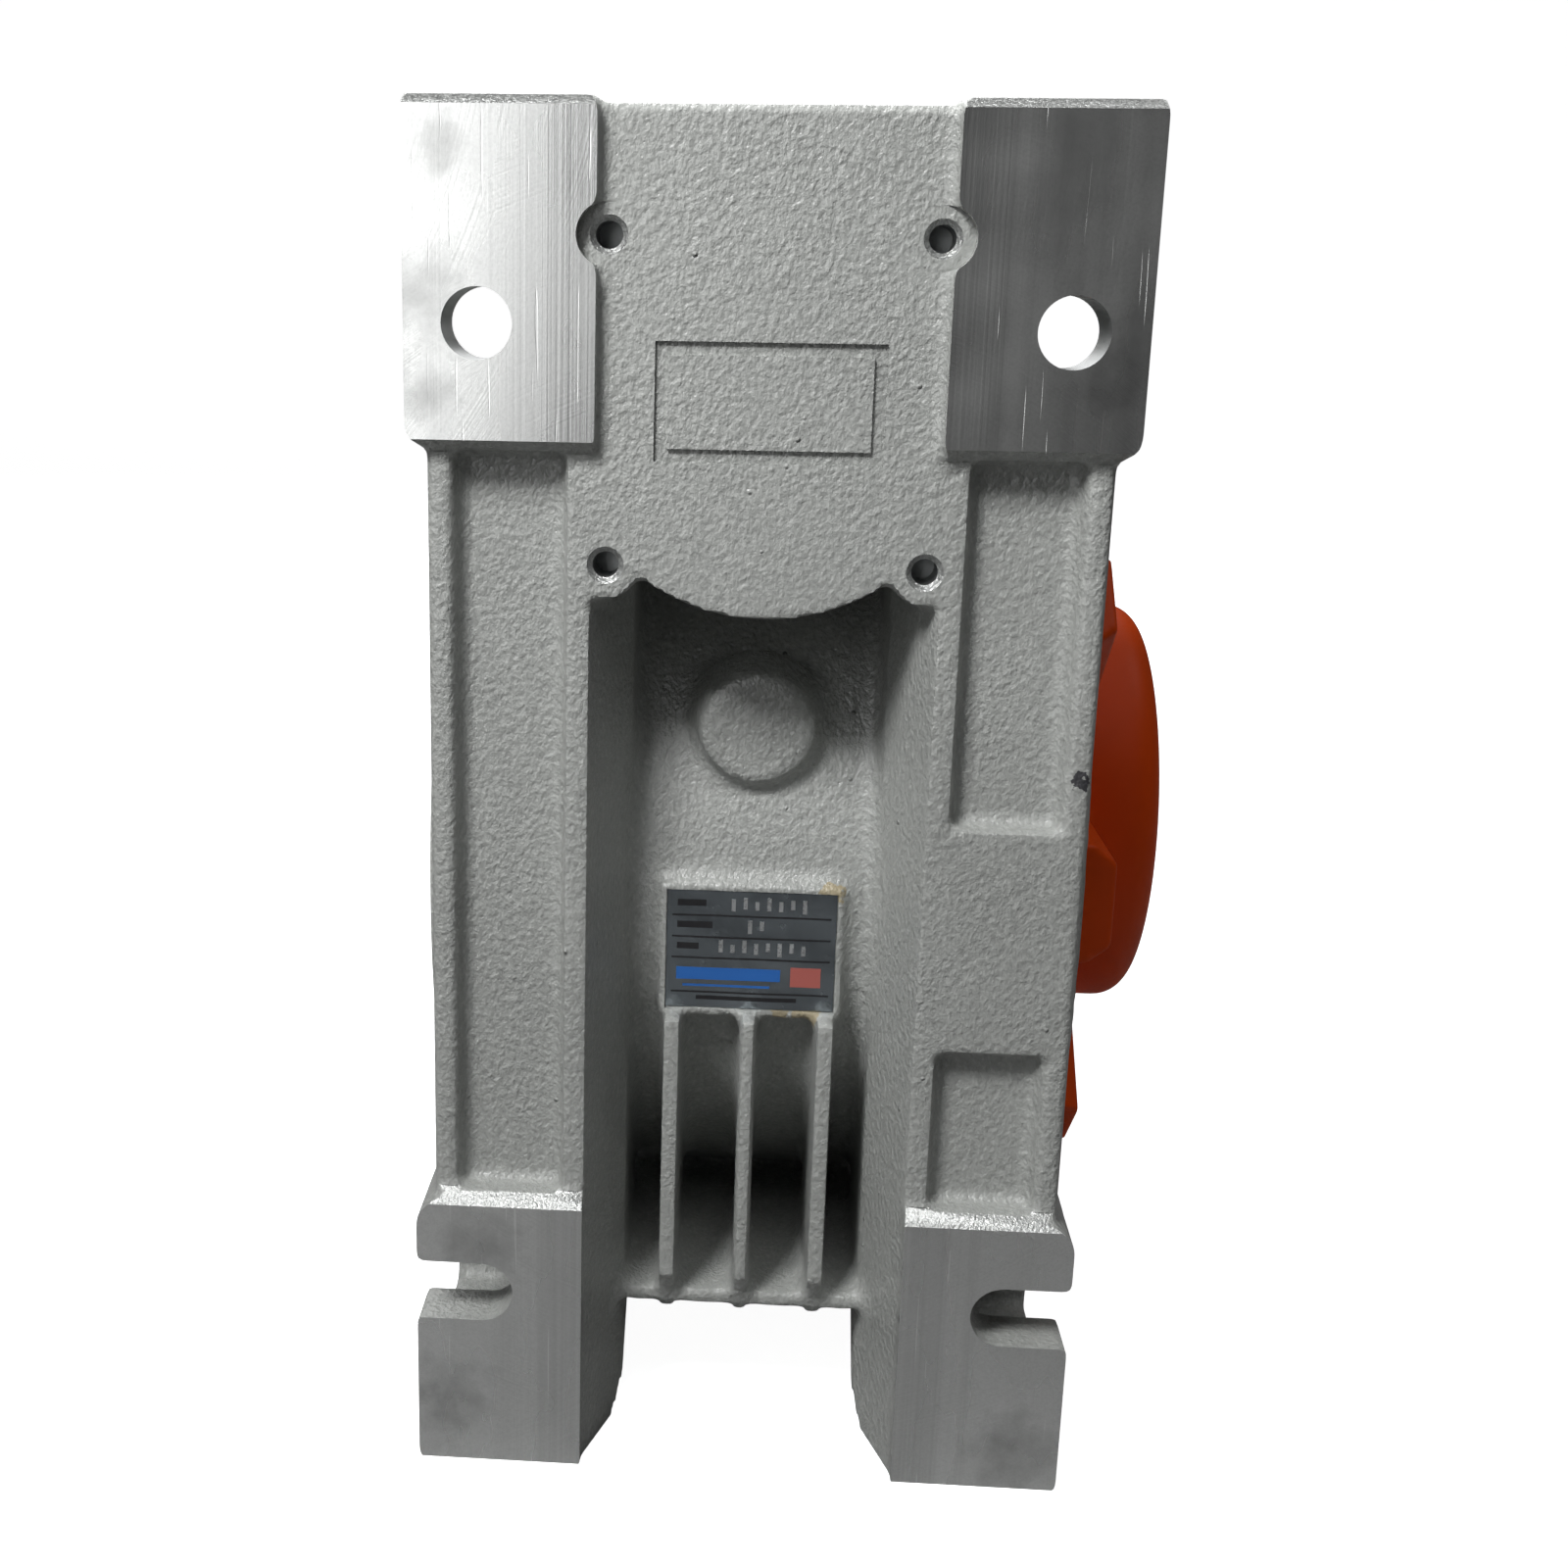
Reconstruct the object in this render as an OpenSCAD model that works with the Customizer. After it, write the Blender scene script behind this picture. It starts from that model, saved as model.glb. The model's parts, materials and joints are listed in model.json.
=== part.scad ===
// Single-stage worm gearbox, size 110, with a hollow output shaft and a hollow input shaft.
// Origin: centre of the output bore. X: output axis. Y: worm axis, input at +Y. Z: up.

/* [Gear set] */
// Distance between the output axis and the worm axis
centre_distance = 110; // [110:1:112]
// Axial module of the worm
axial_module = 5.6; // [5.5:0.05:5.6]
// Threads on the worm
worm_starts = 2; // [2:1:2]
// Teeth on the wheel
wheel_teeth = 30; // [30:2:30]
// Face width of the wheel
wheel_width = 44; // [36:1:46]
// Length of the worm thread
thread_length = 80; // [70:1:84]
// Thickness taken off each tooth flank for backlash
flank_backlash = 0.12; // [0.08:0.01:0.2]

/* [Output shaft] */
// Diameter of the output bore
output_bore_d = 42; // [38:1:42]
// Length of the hollow output shaft
output_shaft_length = 155; // [153:1:160]
// Width of the output keyway
output_key_w = 12; // [10:1:12]
// Height of the output bore with its keyway
output_key_h = 45.3; // [43:0.1:45.3]

/* [Input] */
// Diameter of the motor bore
input_bore_d = 28; // [24:1:28]
// Width of the motor keyway
input_key_w = 8; // [6:1:8]
// Height of the motor bore with its keyway
input_key_h = 31.3; // [29:0.1:31.3]
// Diameter of the motor flange
motor_flange_d = 160; // [150:1:165]
// Diameter of the motor flange's pilot
motor_pilot_d = 110; // [108:1:110]
// Pitch circle of the motor screws
motor_pcd = 130; // [128:1:132]
// Distance from the output axis to the motor flange face
motor_face_y = 160; // [156:1:166]

/* [Casing] */
// Width of the casing across its machined sides
body_w = 144; // [142:1:148]
// Length of the casing between its end pads
body_l = 252.5; // [250:0.5:256]
// Height from the base to the output axis
base_h = 127.5; // [126:0.5:132]
// Height from the output axis to the top of the end pads
top_h = 167.5; // [164:0.5:172]
// Outer radius of the wheel chamber
chamber_r = 100; // [98:1:102]
// Thickness of the mounting feet
foot_t = 14; // [12:0.5:15]
// Distance between the mounting holes across the casing
foot_pitch_x = 115; // [112:1:118]
// Distance between the base holes along the casing
foot_pitch_y = 170; // [166:1:174]
// Diameter of the mounting holes
foot_hole_d = 14; // [12:0.5:14]

/* [Output face] */
// Diameter of the output spigot
spigot_d = 130; // [126:1:132]
// Pitch circle of the output face screws
output_pcd = 165; // [162:1:168]
// Height of the protective cover over the output face
cover_h = 28; // [22:1:34]
// Diameter of the protective cover's dome
dome_d = 106; // [100:1:110]

/* [Hidden] */
$fn = 96;
eps = 0.01;

// Casing levels and radii
hx = body_w / 2;
hy = body_l / 2;
ax_z = centre_distance;
panel_y = hy - 3;
plate_y = hy - foot_t;
side_x = hx - 4;
rail_in = 35.2;
rail_out = 40;
rim_in = 63.3;
wall_in = 27.3;
wall_in_y = chamber_r;
pad_z = 100.5;
panel_top = top_h - 1.4;
foot_top = -64;
shoulder_r = 6;
pad_corner_r = 5;
pad_bevel = 2;
tap_boss_r = 6.2;
deck_z = 104;
flange_r = 104;
cavity_r = 91.5;
face_x = 57.5;
gasket_t = 0.5;
cover_x = face_x + gasket_t;
barrel_r = 42.5;
seat_r = 62;
tap_r = 2.65;
tap_square = 64;
foot_hole_z = 125;
foot_slot_z = -85;
notch_in = 48;
notch_y = 70;
m10_r = 5;
m10_core_r = 4.25;
m10_depth = 18;
tap_wall_x = 51;
m8_core_r = 3.4;
m6_core_r = 2.5;

// Output bearings, seals and shaft
shaft_r = 30;
ball_r = 5.5;
ball_pitch_r = 38.75;
ball_count = 12;
bearing_x = 46;
bearing_w = 18;
bearing_r = 47.5;
seal_r = 40;
seal_w = 8;
seal_x = 65.5;
hub_seat_r = 70;
run_gap = 0.05;
spigot_t = 2.5;

// Worm bearings
front_seat_y = 94;
front_w = 20;
front_in_r = 25;
front_out_r = 40;
rear_seat_y = -115.5;
rear_w = 24.5;
rear_in_r = 15;
rear_out_r = 31;
bore_end_y = -116;
taper_angle = 13.5;
worm_end_y = motor_face_y - 6;
motor_bore_l = 61;
flange_screw_r = 46.5;
flange_y = hy + gasket_t;

// Tooth geometry: both gears are involute helicoids that share a normal module
worm_pitch_r = centre_distance - wheel_teeth * axial_module / 2;
wheel_pitch_r = wheel_teeth * axial_module / 2;
lead_angle = atan(worm_starts * axial_module / (2 * worm_pitch_r));
lead = worm_starts * axial_module * PI;
worm_tip_r = worm_pitch_r + axial_module;
worm_root_r = worm_pitch_r - 1.2 * axial_module;
wheel_tip_r = wheel_pitch_r + axial_module;
wheel_root_r = wheel_pitch_r - 1.25 * axial_module;
normal_pressure = 20;

function radial(r, a) = [r * cos(a), r * sin(a)];
function involute(a) = tan(a) * 180 / PI - a;

// Half-angle of a tooth at radius r, for a gear of pitch radius rp and transverse pressure angle at
function half_tooth(r, rp, at, teeth, thin) =
  let (
    rb = rp * cos(at),
    ar = r > rb ? acos(rb / r) : 0
  ) 90 / teeth - thin / rp * 180 / PI + involute(at) - involute(ar);

// Outline of a gear: each tooth goes up one flank, over its tip, down the other and along the root
function gear_outline(teeth, rp, at, root, tip, thin, flank, arc) = [
  for (i = [0 : teeth - 1])
    let (
      c = i * 360 / teeth,
      tip_a = half_tooth(tip, rp, at, teeth, thin),
      root_a = half_tooth(root, rp, at, teeth, thin),
      gap_a = 360 / teeth - 2 * root_a
    ) each concat(
      [
        for (j = [0 : flank])
          let (r = root + (tip - root) * j / flank)
            radial(r, c - half_tooth(r, rp, at, teeth, thin))
      ],
      [for (j = [1 : arc]) radial(tip, c - tip_a + 2 * tip_a * j / (arc + 1))],
      [
        for (j = [flank : -1 : 0])
          let (r = root + (tip - root) * j / flank)
            radial(r, c + half_tooth(r, rp, at, teeth, thin))
      ],
      [for (j = [1 : arc]) radial(root, c + root_a + gap_a * j / (arc + 1))]
    )
];

// ---- Shapes that repeat ----

module box(lo, hi) translate(lo) cube(hi - lo);

module cyl_x(r, x0, x1) translate([x0, 0, 0]) rotate([0, 90, 0]) cylinder(r = r, h = x1 - x0);

module cyl_y(r, y0, y1) translate([0, y0, 0]) rotate([-90, 0, 0]) cylinder(r = r, h = y1 - y0);

module cyl_z(r, z0, z1) translate([0, 0, z0]) cylinder(r = r, h = z1 - z0);

module tube_x(r_in, r_out, x0, x1) difference() {
  cyl_x(r_out, x0, x1);
  cyl_x(r_in, x0 - 1, x1 + 1);
}

module tube_y(r_in, r_out, y0, y1) difference() {
  cyl_y(r_out, y0, y1);
  cyl_y(r_in, y0 - 1, y1 + 1);
}

// A prism along X with an outline of [y, z] points
module prism_x(points, x0, x1)
  translate([x0, 0, 0]) rotate([90, 0, 90]) linear_extrude(x1 - x0) polygon(points);

// A prism along Y, from y0 to y1, with its children's outline in [x, z]
module extrude_y(y0, y1) translate([0, y1, 0]) rotate([90, 0, 0]) linear_extrude(y1 - y0) children();

// A body of revolution about X, with an outline of [x, radius] points
module revolve_x(points)
  rotate([0, 90, 0]) rotate_extrude() polygon([for (p = points) [p[1], p[0]]]);

// A body of revolution about Y, with an outline of [y, radius] points
module revolve_y(points)
  rotate([-90, 0, 0]) rotate_extrude() polygon([for (p = points) [p[1], p[0]]]);

module both_x() {
  children();
  mirror([1, 0, 0]) children();
}

module both_y() {
  children();
  mirror([0, 1, 0]) children();
}

module on_worm() translate([0, 0, ax_z]) children();

// Copies around the output axis; the first lies towards -Y
module around_x(count, radius, start = 0)
  for (i = [0 : count - 1])
    rotate([start + i * 360 / count, 0, 0]) translate([0, -radius, 0]) children();

// Copies around the worm axis
module around_y(count, radius, start = 45)
  on_worm() for (i = [0 : count - 1])
    rotate([0, start + i * 360 / count, 0]) translate([radius, 0, 0]) children();

// ---- Casing ----

// One corner column in plan, with a drafted outer side and a drafted channel wall
module column_plan() polygon([
  [rail_in, -panel_y], [side_x, -panel_y], [hx - 1, -wall_in_y], [hx - 1, -30],
  [wall_in, -30], [wall_in, -wall_in_y]
]);

// Side outline of the front columns: a shoulder slopes from the deck to the chamber
module column() intersection() {
  translate([0, 0, -base_h]) linear_extrude(base_h + deck_z) column_plan();
  prism_x([
    [-panel_y, -base_h], [-60, -base_h], [-60, -60], [-chamber_r + 4, 0],
    [-60, 84], [-92, deck_z], [-panel_y, deck_z]
  ], 0, hx);
}

// A foot with its base pad and its end pad, a bevel over the end pad and a rounded outer shoulder
module foot() difference() {
  prism_x([
    [-hy, -base_h], [-notch_y + 6, -base_h], [-notch_y + 6, -60],
    [-panel_y, foot_top + 3.5], [-hy, foot_top]
  ], rail_in, hx);
  extrude_y(-hy - 1, -notch_y + 7) difference() {
    translate([side_x, foot_top - 5]) square([hx - side_x + 1, 12]);
    translate([hx - shoulder_r, foot_top - 5]) circle(r = shoulder_r);
  }
}

// Upper end pad with one rounded lower corner, bevelled ends and a notch round the tapped hole
module end_pad() difference() {
  extrude_y(-hy, -plate_y) union() {
    translate([rail_in - 1, pad_z]) square([hx - rail_in + 1 - pad_corner_r, top_h - pad_z]);
    translate([rail_in - 1, pad_z + pad_corner_r]) square([hx - rail_in + 1, top_h - pad_z - pad_corner_r]);
    translate([hx - pad_corner_r, pad_z + pad_corner_r]) circle(r = pad_corner_r);
  }
  prism_x([
    [-hy - 1, top_h - pad_bevel - 1], [-hy - 1, top_h + 1], [-hy + pad_bevel + 1, top_h + 1]
  ], 0, hx + 1);
  prism_x([
    [-hy - 1, pad_z + pad_bevel + 1], [-hy - 1, pad_z - 1], [-hy + pad_bevel + 1, pad_z - 1]
  ], 0, hx + 1);
  translate([tap_square / 2, 0, ax_z + tap_square / 2]) cyl_y(tap_boss_r, -hy - 1, -panel_y);
}

// The middle of the end wall: a flat panel that follows the worm tunnel at its lower edge
module end_panel() extrude_y(-panel_y, -plate_y) union() {
  translate([-rail_in, pad_z]) square([2 * rail_in, panel_top - pad_z]);
  intersection() {
    translate([0, ax_z]) circle(r = barrel_r);
    translate([-rail_out, ax_z - barrel_r]) square([2 * rail_out, 2 * barrel_r]);
  }
  for (x = [-1, 1]) translate([x * tap_square / 2, 0]) {
    translate([x > 0 ? -4 : -8, ax_z - tap_square / 2]) square([12, tap_square / 2]);
    translate([0, ax_z - tap_square / 2]) circle(r = 7);
    translate([0, ax_z + tap_square / 2]) circle(r = tap_boss_r);
  }
}

// Ribs that carry the end wall on the worm tunnel
module end_ribs() {
  translate([0, 0, ax_z + 36]) linear_extrude(6) polygon([
    [-66, -plate_y - 1], [66, -plate_y - 1], [66, -plate_y + 4], [30, -84], [-30, -84], [-66, -plate_y + 4]
  ]);
  for (x = [-20, 20])
    prism_x([[-plate_y - 1, ax_z + 30], [-plate_y - 1, panel_top - 3], [-84, ax_z + 30]], x - 3, x + 3);
}

fin_x = [-17, 0, 17];
fin_w = 3.7;
web_z = -97;
frame_top = 5;
frame_bottom = -26.5;
frame_half = 20.8;
frame_y = 103;
frame_border = 1.8;

// Cooling fins and the web between the feet
module channel_fins() {
  for (x = fin_x) prism_x([
    [-110, frame_bottom + 2], [-110, -88], [-104, -99], [-98, -101.5], [-60, -97], [-60, frame_bottom + 2]
  ], x - fin_w / 2, x + fin_w / 2);
  prism_x([[-106, web_z], [-15, web_z], [-15, web_z + 3.5], [-106, web_z + 3.5]], -wall_in - 2, wall_in + 2);
}

// Upstand that carries the nameplate, with a shallow seat
module plate_frame() difference() {
  box([-frame_half, -frame_y, frame_bottom], [frame_half, -chamber_r + 8, frame_top]);
  box([-frame_half + frame_border, -frame_y - 1, frame_bottom + frame_border],
    [frame_half - frame_border, -frame_y + 1, frame_top - frame_border]);
}

// Blank boss for a level plug
module blank_boss() translate([0, -88, 39.5]) rotate([90, 0, 0]) cylinder(r1 = 16, r2 = 12.2, h = 12);

module end_features() {
  both_x() {
    column();
    foot();
    end_pad();
  }
  end_panel();
  end_ribs();
  channel_fins();
}

// A shallow pocket between a column's rail and its outer rim, with drafted sides
module rim_pocket(z0, z1) translate([0, 0, z0]) linear_extrude(z1 - z0) polygon([
  [rail_out, -panel_y - 1], [rim_in, -panel_y - 1], [rim_in - 0.3, -panel_y], [rim_in - 1.2, -panel_y + 5],
  [rail_out + 0.7, -panel_y + 5], [rail_out, -panel_y]
]);

// Clearance behind a foot for its bolts, and the lightening pocket above it
module side_recesses() {
  box([notch_in, -plate_y, -base_h + foot_t], [hx + 1, -notch_y, -70]);
  difference() {
    box([notch_in, -plate_y + 1, 22], [hx + 1, -60, deck_z - 8]);
    cyl_x(flange_r + 4, 0, hx + 2);
    prism_x([[-92 - 6, deck_z], [-58, 68], [-40, 120]], 0, hx + 2);
  }
}

// The two holes of one foot and the hole of one upper pad
module foot_cuts() {
  translate([foot_pitch_x / 2, 0, foot_hole_z]) cyl_y(foot_hole_d / 2, -hy - 1, -plate_y + 1);
  translate([foot_pitch_x / 2, 0, foot_slot_z]) cyl_y(foot_hole_d / 2, -hy - 1, -plate_y + 1);
  box([foot_pitch_x / 2, -hy - 1, foot_slot_z - foot_hole_d / 2],
    [hx + 1, -plate_y + 1, foot_slot_z + foot_hole_d / 2]);
  translate([foot_pitch_x / 2, -foot_pitch_y / 2, 0])
    cyl_z(foot_hole_d / 2, -base_h - 1, -base_h + foot_t + 1);
}

// The underside between the inner walls rises behind the feet
module arch_cut() prism_x([
  [-106, -base_h - 1], [-106, -base_h], [-82, -104.5], [-62, -104.5], [0, -flange_r - 0.5], [0, -base_h - 1]
], -notch_in + 6, notch_in - 6);

module end_taps() for (x = [-1, 1], z = [-1, 1])
  translate([x * tap_square / 2, 0, ax_z + z * tap_square / 2]) {
    cyl_y(tap_r, -panel_y - 1, -panel_y + 10);
    translate([0, -panel_y - eps, 0]) rotate([-90, 0, 0]) cylinder(r1 = 3.7, r2 = tap_r, h = 1.2);
  }

// A plain rectangular groove on the end panel
module panel_groove() difference() {
  box([-22.5, -panel_y - 1, 99], [22.5, -panel_y + 0.8, 122]);
  box([-20.5, -panel_y - 2, 101], [20.5, -panel_y + 2, 120]);
}

module output_taps(x0, x1) around_x(8, output_pcd / 2) cyl_x(m10_core_r, x0, x1);

cover_screw_r = 98;
module at_cover_screws() around_x(8, cover_screw_r, 22.5) children();

plug_r = 8;
plug_seat_r = 13;

module casting() {
  cyl_x(chamber_r, -face_x, hx - 1);
  cyl_x(flange_r, 50, hx);
  cyl_x(flange_r, -face_x, -44);
  cyl_x(spigot_d / 2, hx - 1, hx + spigot_t);
  on_worm() {
    cyl_y(barrel_r, -panel_y, 66);
    revolve_y([[66, 0], [66, barrel_r], [80, 50], [plate_y, 50], [plate_y, seat_r], [hy, seat_r], [hy, 0]]);
  }
  both_y() end_features();
  plate_frame();
  both_y() blank_boss();
  translate([0, 30, 0]) cyl_z(plug_seat_r, ax_z, ax_z + barrel_r + 5);
  cyl_z(plug_seat_r, -chamber_r - 5, -chamber_r + 8);
}

module housing() color([0.72, 0.73, 0.72]) difference() {
  casting();
  // wheel chamber, open to the side cover, with a boss round the fixed bearing and a thick tapped wall
  difference() {
    cyl_x(cavity_r, -face_x - 1, 62);
    tube_x(bearing_r - 1, 58, 42, 63);
    tube_x(74, cavity_r + 1, tap_wall_x, 63);
  }
  // seat of the side cover
  cyl_x(flange_r + 0.3, -hx - 1, -face_x);
  // fixed output bearing and seal
  cyl_x(bearing_r, 40, bearing_x + bearing_w);
  cyl_x(seal_r, bearing_x, hx + spigot_t + 1);
  // worm tunnel
  on_worm() {
    cyl_y(rear_out_r, bore_end_y, 0);
    cyl_y(34, rear_seat_y + rear_w, front_seat_y);
    cyl_y(front_out_r, front_seat_y, hy + 1);
    cyl_y(front_out_r + 2, front_seat_y + front_w, front_seat_y + front_w + 2.5);
  }
  output_taps(hx - m10_depth, hx + 1);
  at_cover_lugs() cyl_x(m10_r, hx - m10_depth, hx + 1);
  at_cover_screws() cyl_x(m6_core_r, -face_x - 1, -face_x + 14);
  around_y(4, flange_screw_r) cyl_y(m8_core_r, hy - 18, hy + 1);
  both_y() both_x() {
    side_recesses();
    foot_cuts();
  }
  both_y() arch_cut();
  // pockets of the end walls
  both_y() {
    mirror([1, 0, 0]) rim_pocket(foot_top + 3, pad_z);
    rim_pocket(25, pad_z);
    rim_pocket(foot_top + 3, -25);
  }
  end_taps();
  panel_groove();
  translate([0, 30, 0]) cyl_z(plug_r, ax_z + 20, ax_z + barrel_r + 6);
  cyl_z(plug_r, -chamber_r - 6, -80);
  translate([0, 0, 39.5]) cyl_y(plug_r, 70, 101);
}

// ---- Side cover ----

module side_cover() color([0.70, 0.71, 0.70]) difference() {
  union() {
    revolve_x([
      [-hx, 0], [-hx, flange_r - 1.5], [-hx + 1.5, flange_r], [-cover_x, flange_r],
      [-cover_x, cavity_r - 0.1], [-50, cavity_r - 0.1], [-50, 74], [-54, 72], [-54, 60], [-44, 58], [-44, 0]
    ]);
    cyl_x(spigot_d / 2, -hx - spigot_t, -hx + 1);
  }
  cyl_x(bearing_r, -bearing_x - bearing_w, -40);
  cyl_x(seal_r, -hx - spigot_t - 1, -bearing_x);
  output_taps(-hx - 1, -hx + m10_depth);
  at_cover_screws() {
    cyl_x(3.3, -hx - 1, -cover_x + 1);
    cyl_x(5.5, -hx - 1, -hx + 6.5);
  }
}

module side_cover_gasket() color([0.25, 0.42, 0.30]) difference() {
  tube_x(cavity_r + 0.2, flange_r, -cover_x, -face_x);
  at_cover_screws() cyl_x(3.3, -cover_x - 1, -face_x + 1);
}

// A socket head screw along +X with its head's outer face at x = 0
module socket_screw(head_r, head_h, shank_r, length, hex) difference() {
  union() {
    revolve_x([[0, 0], [0, head_r - 0.6], [0.6, head_r], [head_h, head_r], [head_h, 0]]);
    cyl_x(shank_r, head_h - eps, head_h + length);
  }
  translate([-1, 0, 0]) rotate([0, 90, 0]) cylinder(r = hex, h = head_h * 0.6 + 1, $fn = 6);
}

module side_cover_screws() color([0.25, 0.25, 0.27])
  at_cover_screws() translate([-hx + 0.4, 0, 0]) socket_screw(5, 6, 2.45, 18, 2.8);

module nameplate() color([0.78, 0.80, 0.81])
  box([-frame_half + frame_border + 0.2, -frame_y + 0.4, frame_bottom + frame_border + 0.2],
    [frame_half - frame_border - 0.2, -frame_y + 1, frame_top - frame_border - 0.2]);

// ---- Oil plugs ----

// A hexagon plug with its flange at z = 0 and its thread below
module oil_plug(head_h) {
  cyl_z(11.4, 1.5, 3);
  cyl_z(plug_r - 0.05, -9, 1.5);
  translate([0, 0, 3 - eps]) cylinder(r = 9.8, h = head_h, $fn = 6);
}

module breather_plug() color([0.85, 0.72, 0.38]) translate([0, 30, ax_z + barrel_r + 5]) difference() {
  union() {
    oil_plug(5);
    cyl_z(4, 8 - eps, 10);
  }
  cyl_z(2, -10, 9);
  translate([0, 0, 9]) rotate([0, 90, 0]) cylinder(r = 0.7, h = 12, center = true);
}

module drain_plug() color([0.30, 0.30, 0.32])
  translate([0, 0, -chamber_r - 5]) rotate([180, 0, 0]) oil_plug(6);

module level_plug() color([0.30, 0.30, 0.32])
  translate([0, chamber_r, 39.5]) rotate([-90, 0, 0]) oil_plug(6);

module plug_washers() color([0.72, 0.45, 0.25]) {
  washer_place(0, 30, ax_z + barrel_r + 5, 0);
  washer_place(0, 0, -chamber_r - 5, 180);
  washer_place(0, chamber_r, 39.5, -90);
}

module washer_place(x, y, z, tilt) translate([x, y, z]) rotate([tilt, 0, 0]) difference() {
  cyl_z(11, 0, 1.5);
  cyl_z(plug_r + 0.1, -1, 2.5);
}

// ---- Input flange ----

module input_flange() color([0.70, 0.71, 0.70]) difference() {
  on_worm() revolve_y([
    [flange_y, 30], [flange_y, seat_r], [flange_y + 17, seat_r], [motor_face_y - 12, motor_flange_d / 2 - 1],
    [motor_face_y - 11, motor_flange_d / 2], [motor_face_y - 1, motor_flange_d / 2],
    [motor_face_y, motor_flange_d / 2 - 1], [motor_face_y, motor_pilot_d / 2],
    [motor_face_y - 5, motor_pilot_d / 2], [motor_face_y - 5, 54], [flange_y + 10, 54], [flange_y + 10, 30]
  ]);
  around_y(4, flange_screw_r) cyl_y(4.4, flange_y - 1, flange_y + 11);
  around_y(4, motor_pcd / 2) cyl_y(4.5, flange_y + 11, motor_face_y + 1);
}

module input_flange_gasket() color([0.25, 0.42, 0.30]) difference() {
  on_worm() tube_y(front_out_r, seat_r - 0.2, hy, flange_y);
  around_y(4, flange_screw_r) cyl_y(4.2, hy - 1, flange_y + 1);
}

module input_flange_screws() color([0.25, 0.25, 0.27])
  around_y(4, flange_screw_r) translate([0, flange_y + 18, 0]) rotate([0, 0, -90])
    socket_screw(6.5, 8, 3.35, 26, 3.6);

// ---- Worm bearings ----

// Radius of a raceway at y, for a cone that passes through reach at mid
function race_r(y, mid, reach, angle, gap) = reach + (y - mid) * tan(angle) + gap;

// A tapered roller bearing: its raceways and rollers meet at one apex on the axis.
// y0: lower face, w: width, mean: pitch radius, half: half-angle of a roller, up: +1 where it widens to +Y
module bearing_cup(y0, w, mean, half, r_out, up) {
  mid = y0 + w / 2;
  a = up * (taper_angle + half);
  reach = mean / tan(taper_angle) * tan(taper_angle + half);
  revolve_y([
    [y0 + 1, r_out], [y0 + w - 1, r_out],
    [y0 + w - 1, race_r(y0 + w - 1, mid, reach, a, run_gap)], [y0 + 1, race_r(y0 + 1, mid, reach, a, run_gap)]
  ]);
}

module bearing_cone(y0, w, mean, half, r_in, up) {
  mid = y0 + w / 2;
  a = up * (taper_angle - half);
  reach = mean / tan(taper_angle) * tan(taper_angle - half);
  revolve_y([
    [y0, r_in], [y0 + w, r_in],
    [y0 + w, race_r(y0 + w, mid, reach, a, -run_gap)], [y0, race_r(y0, mid, reach, a, -run_gap)]
  ]);
}

module bearing_rollers(y0, w, mean, half, count, up) {
  mid = y0 + w / 2;
  apex = mean / sin(taper_angle);
  l = w * 0.66;
  for (i = [0 : count - 1])
    rotate([0, i * 360 / count, 0]) translate([0, mid - up * mean / tan(taper_angle), 0])
      rotate([up > 0 ? -90 : 90, 0, 0]) rotate([0, taper_angle, 0]) translate([0, 0, apex - l / 2])
        cylinder(r1 = (apex - l / 2) * tan(half) - run_gap, r2 = (apex + l / 2) * tan(half) - run_gap, h = l);
}

front_mean = 32.2;
front_half = 1.85;
front_rollers = 19;
rear_mean = 22.8;
rear_half = 2.4;
rear_rollers = 14;

module input_bearing_cup() color([0.80, 0.81, 0.83])
  on_worm() bearing_cup(front_seat_y, front_w, front_mean, front_half, front_out_r, 1);

module input_bearing_rollers() color([0.86, 0.87, 0.88])
  on_worm() bearing_rollers(front_seat_y, front_w, front_mean, front_half, front_rollers, 1);

module input_bearing_cone() color([0.80, 0.81, 0.83])
  on_worm() bearing_cone(front_seat_y, front_w, front_mean, front_half, front_in_r, 1);

module rear_bearing_cup() color([0.80, 0.81, 0.83])
  on_worm() bearing_cup(rear_seat_y, rear_w, rear_mean, rear_half, rear_out_r, -1);

module rear_bearing_rollers() color([0.86, 0.87, 0.88])
  on_worm() bearing_rollers(rear_seat_y, rear_w, rear_mean, rear_half, rear_rollers, -1);

module rear_bearing_cone() color([0.80, 0.81, 0.83])
  on_worm() bearing_cone(rear_seat_y, rear_w, rear_mean, rear_half, rear_in_r, -1);

module rear_bearing_shim() color([0.62, 0.64, 0.66])
  on_worm() tube_y(27, rear_out_r, bore_end_y, rear_seat_y + 1);

module input_seal() color([0.12, 0.12, 0.13]) on_worm() revolve_y([
  [118, front_out_r], [118, front_in_r + 3], [122, front_in_r + run_gap], [124, front_in_r + run_gap],
  [126, front_in_r + 1], [126, front_out_r]
]);

module input_circlip() color([0.30, 0.30, 0.32]) on_worm() difference() {
  tube_y(37.2, front_out_r + 1.9, front_seat_y + front_w, front_seat_y + front_w + 2.4);
  box([-4, front_seat_y, 30], [4, front_seat_y + 30, 50]);
}

// ---- Output bearings, drawn on the +X side ----

module ball_race()
  rotate([0, 90, 0]) rotate_extrude() translate([ball_pitch_r, 0]) circle(r = ball_r + run_gap);

mid_x = bearing_x + bearing_w / 2;

module outer_ring() color([0.80, 0.81, 0.83]) difference() {
  tube_x(42, bearing_r, bearing_x, bearing_x + bearing_w);
  translate([mid_x, 0, 0]) ball_race();
}

module inner_ring() color([0.80, 0.81, 0.83]) difference() {
  tube_x(shaft_r, 35.5, bearing_x, bearing_x + bearing_w);
  translate([mid_x, 0, 0]) ball_race();
}

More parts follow.
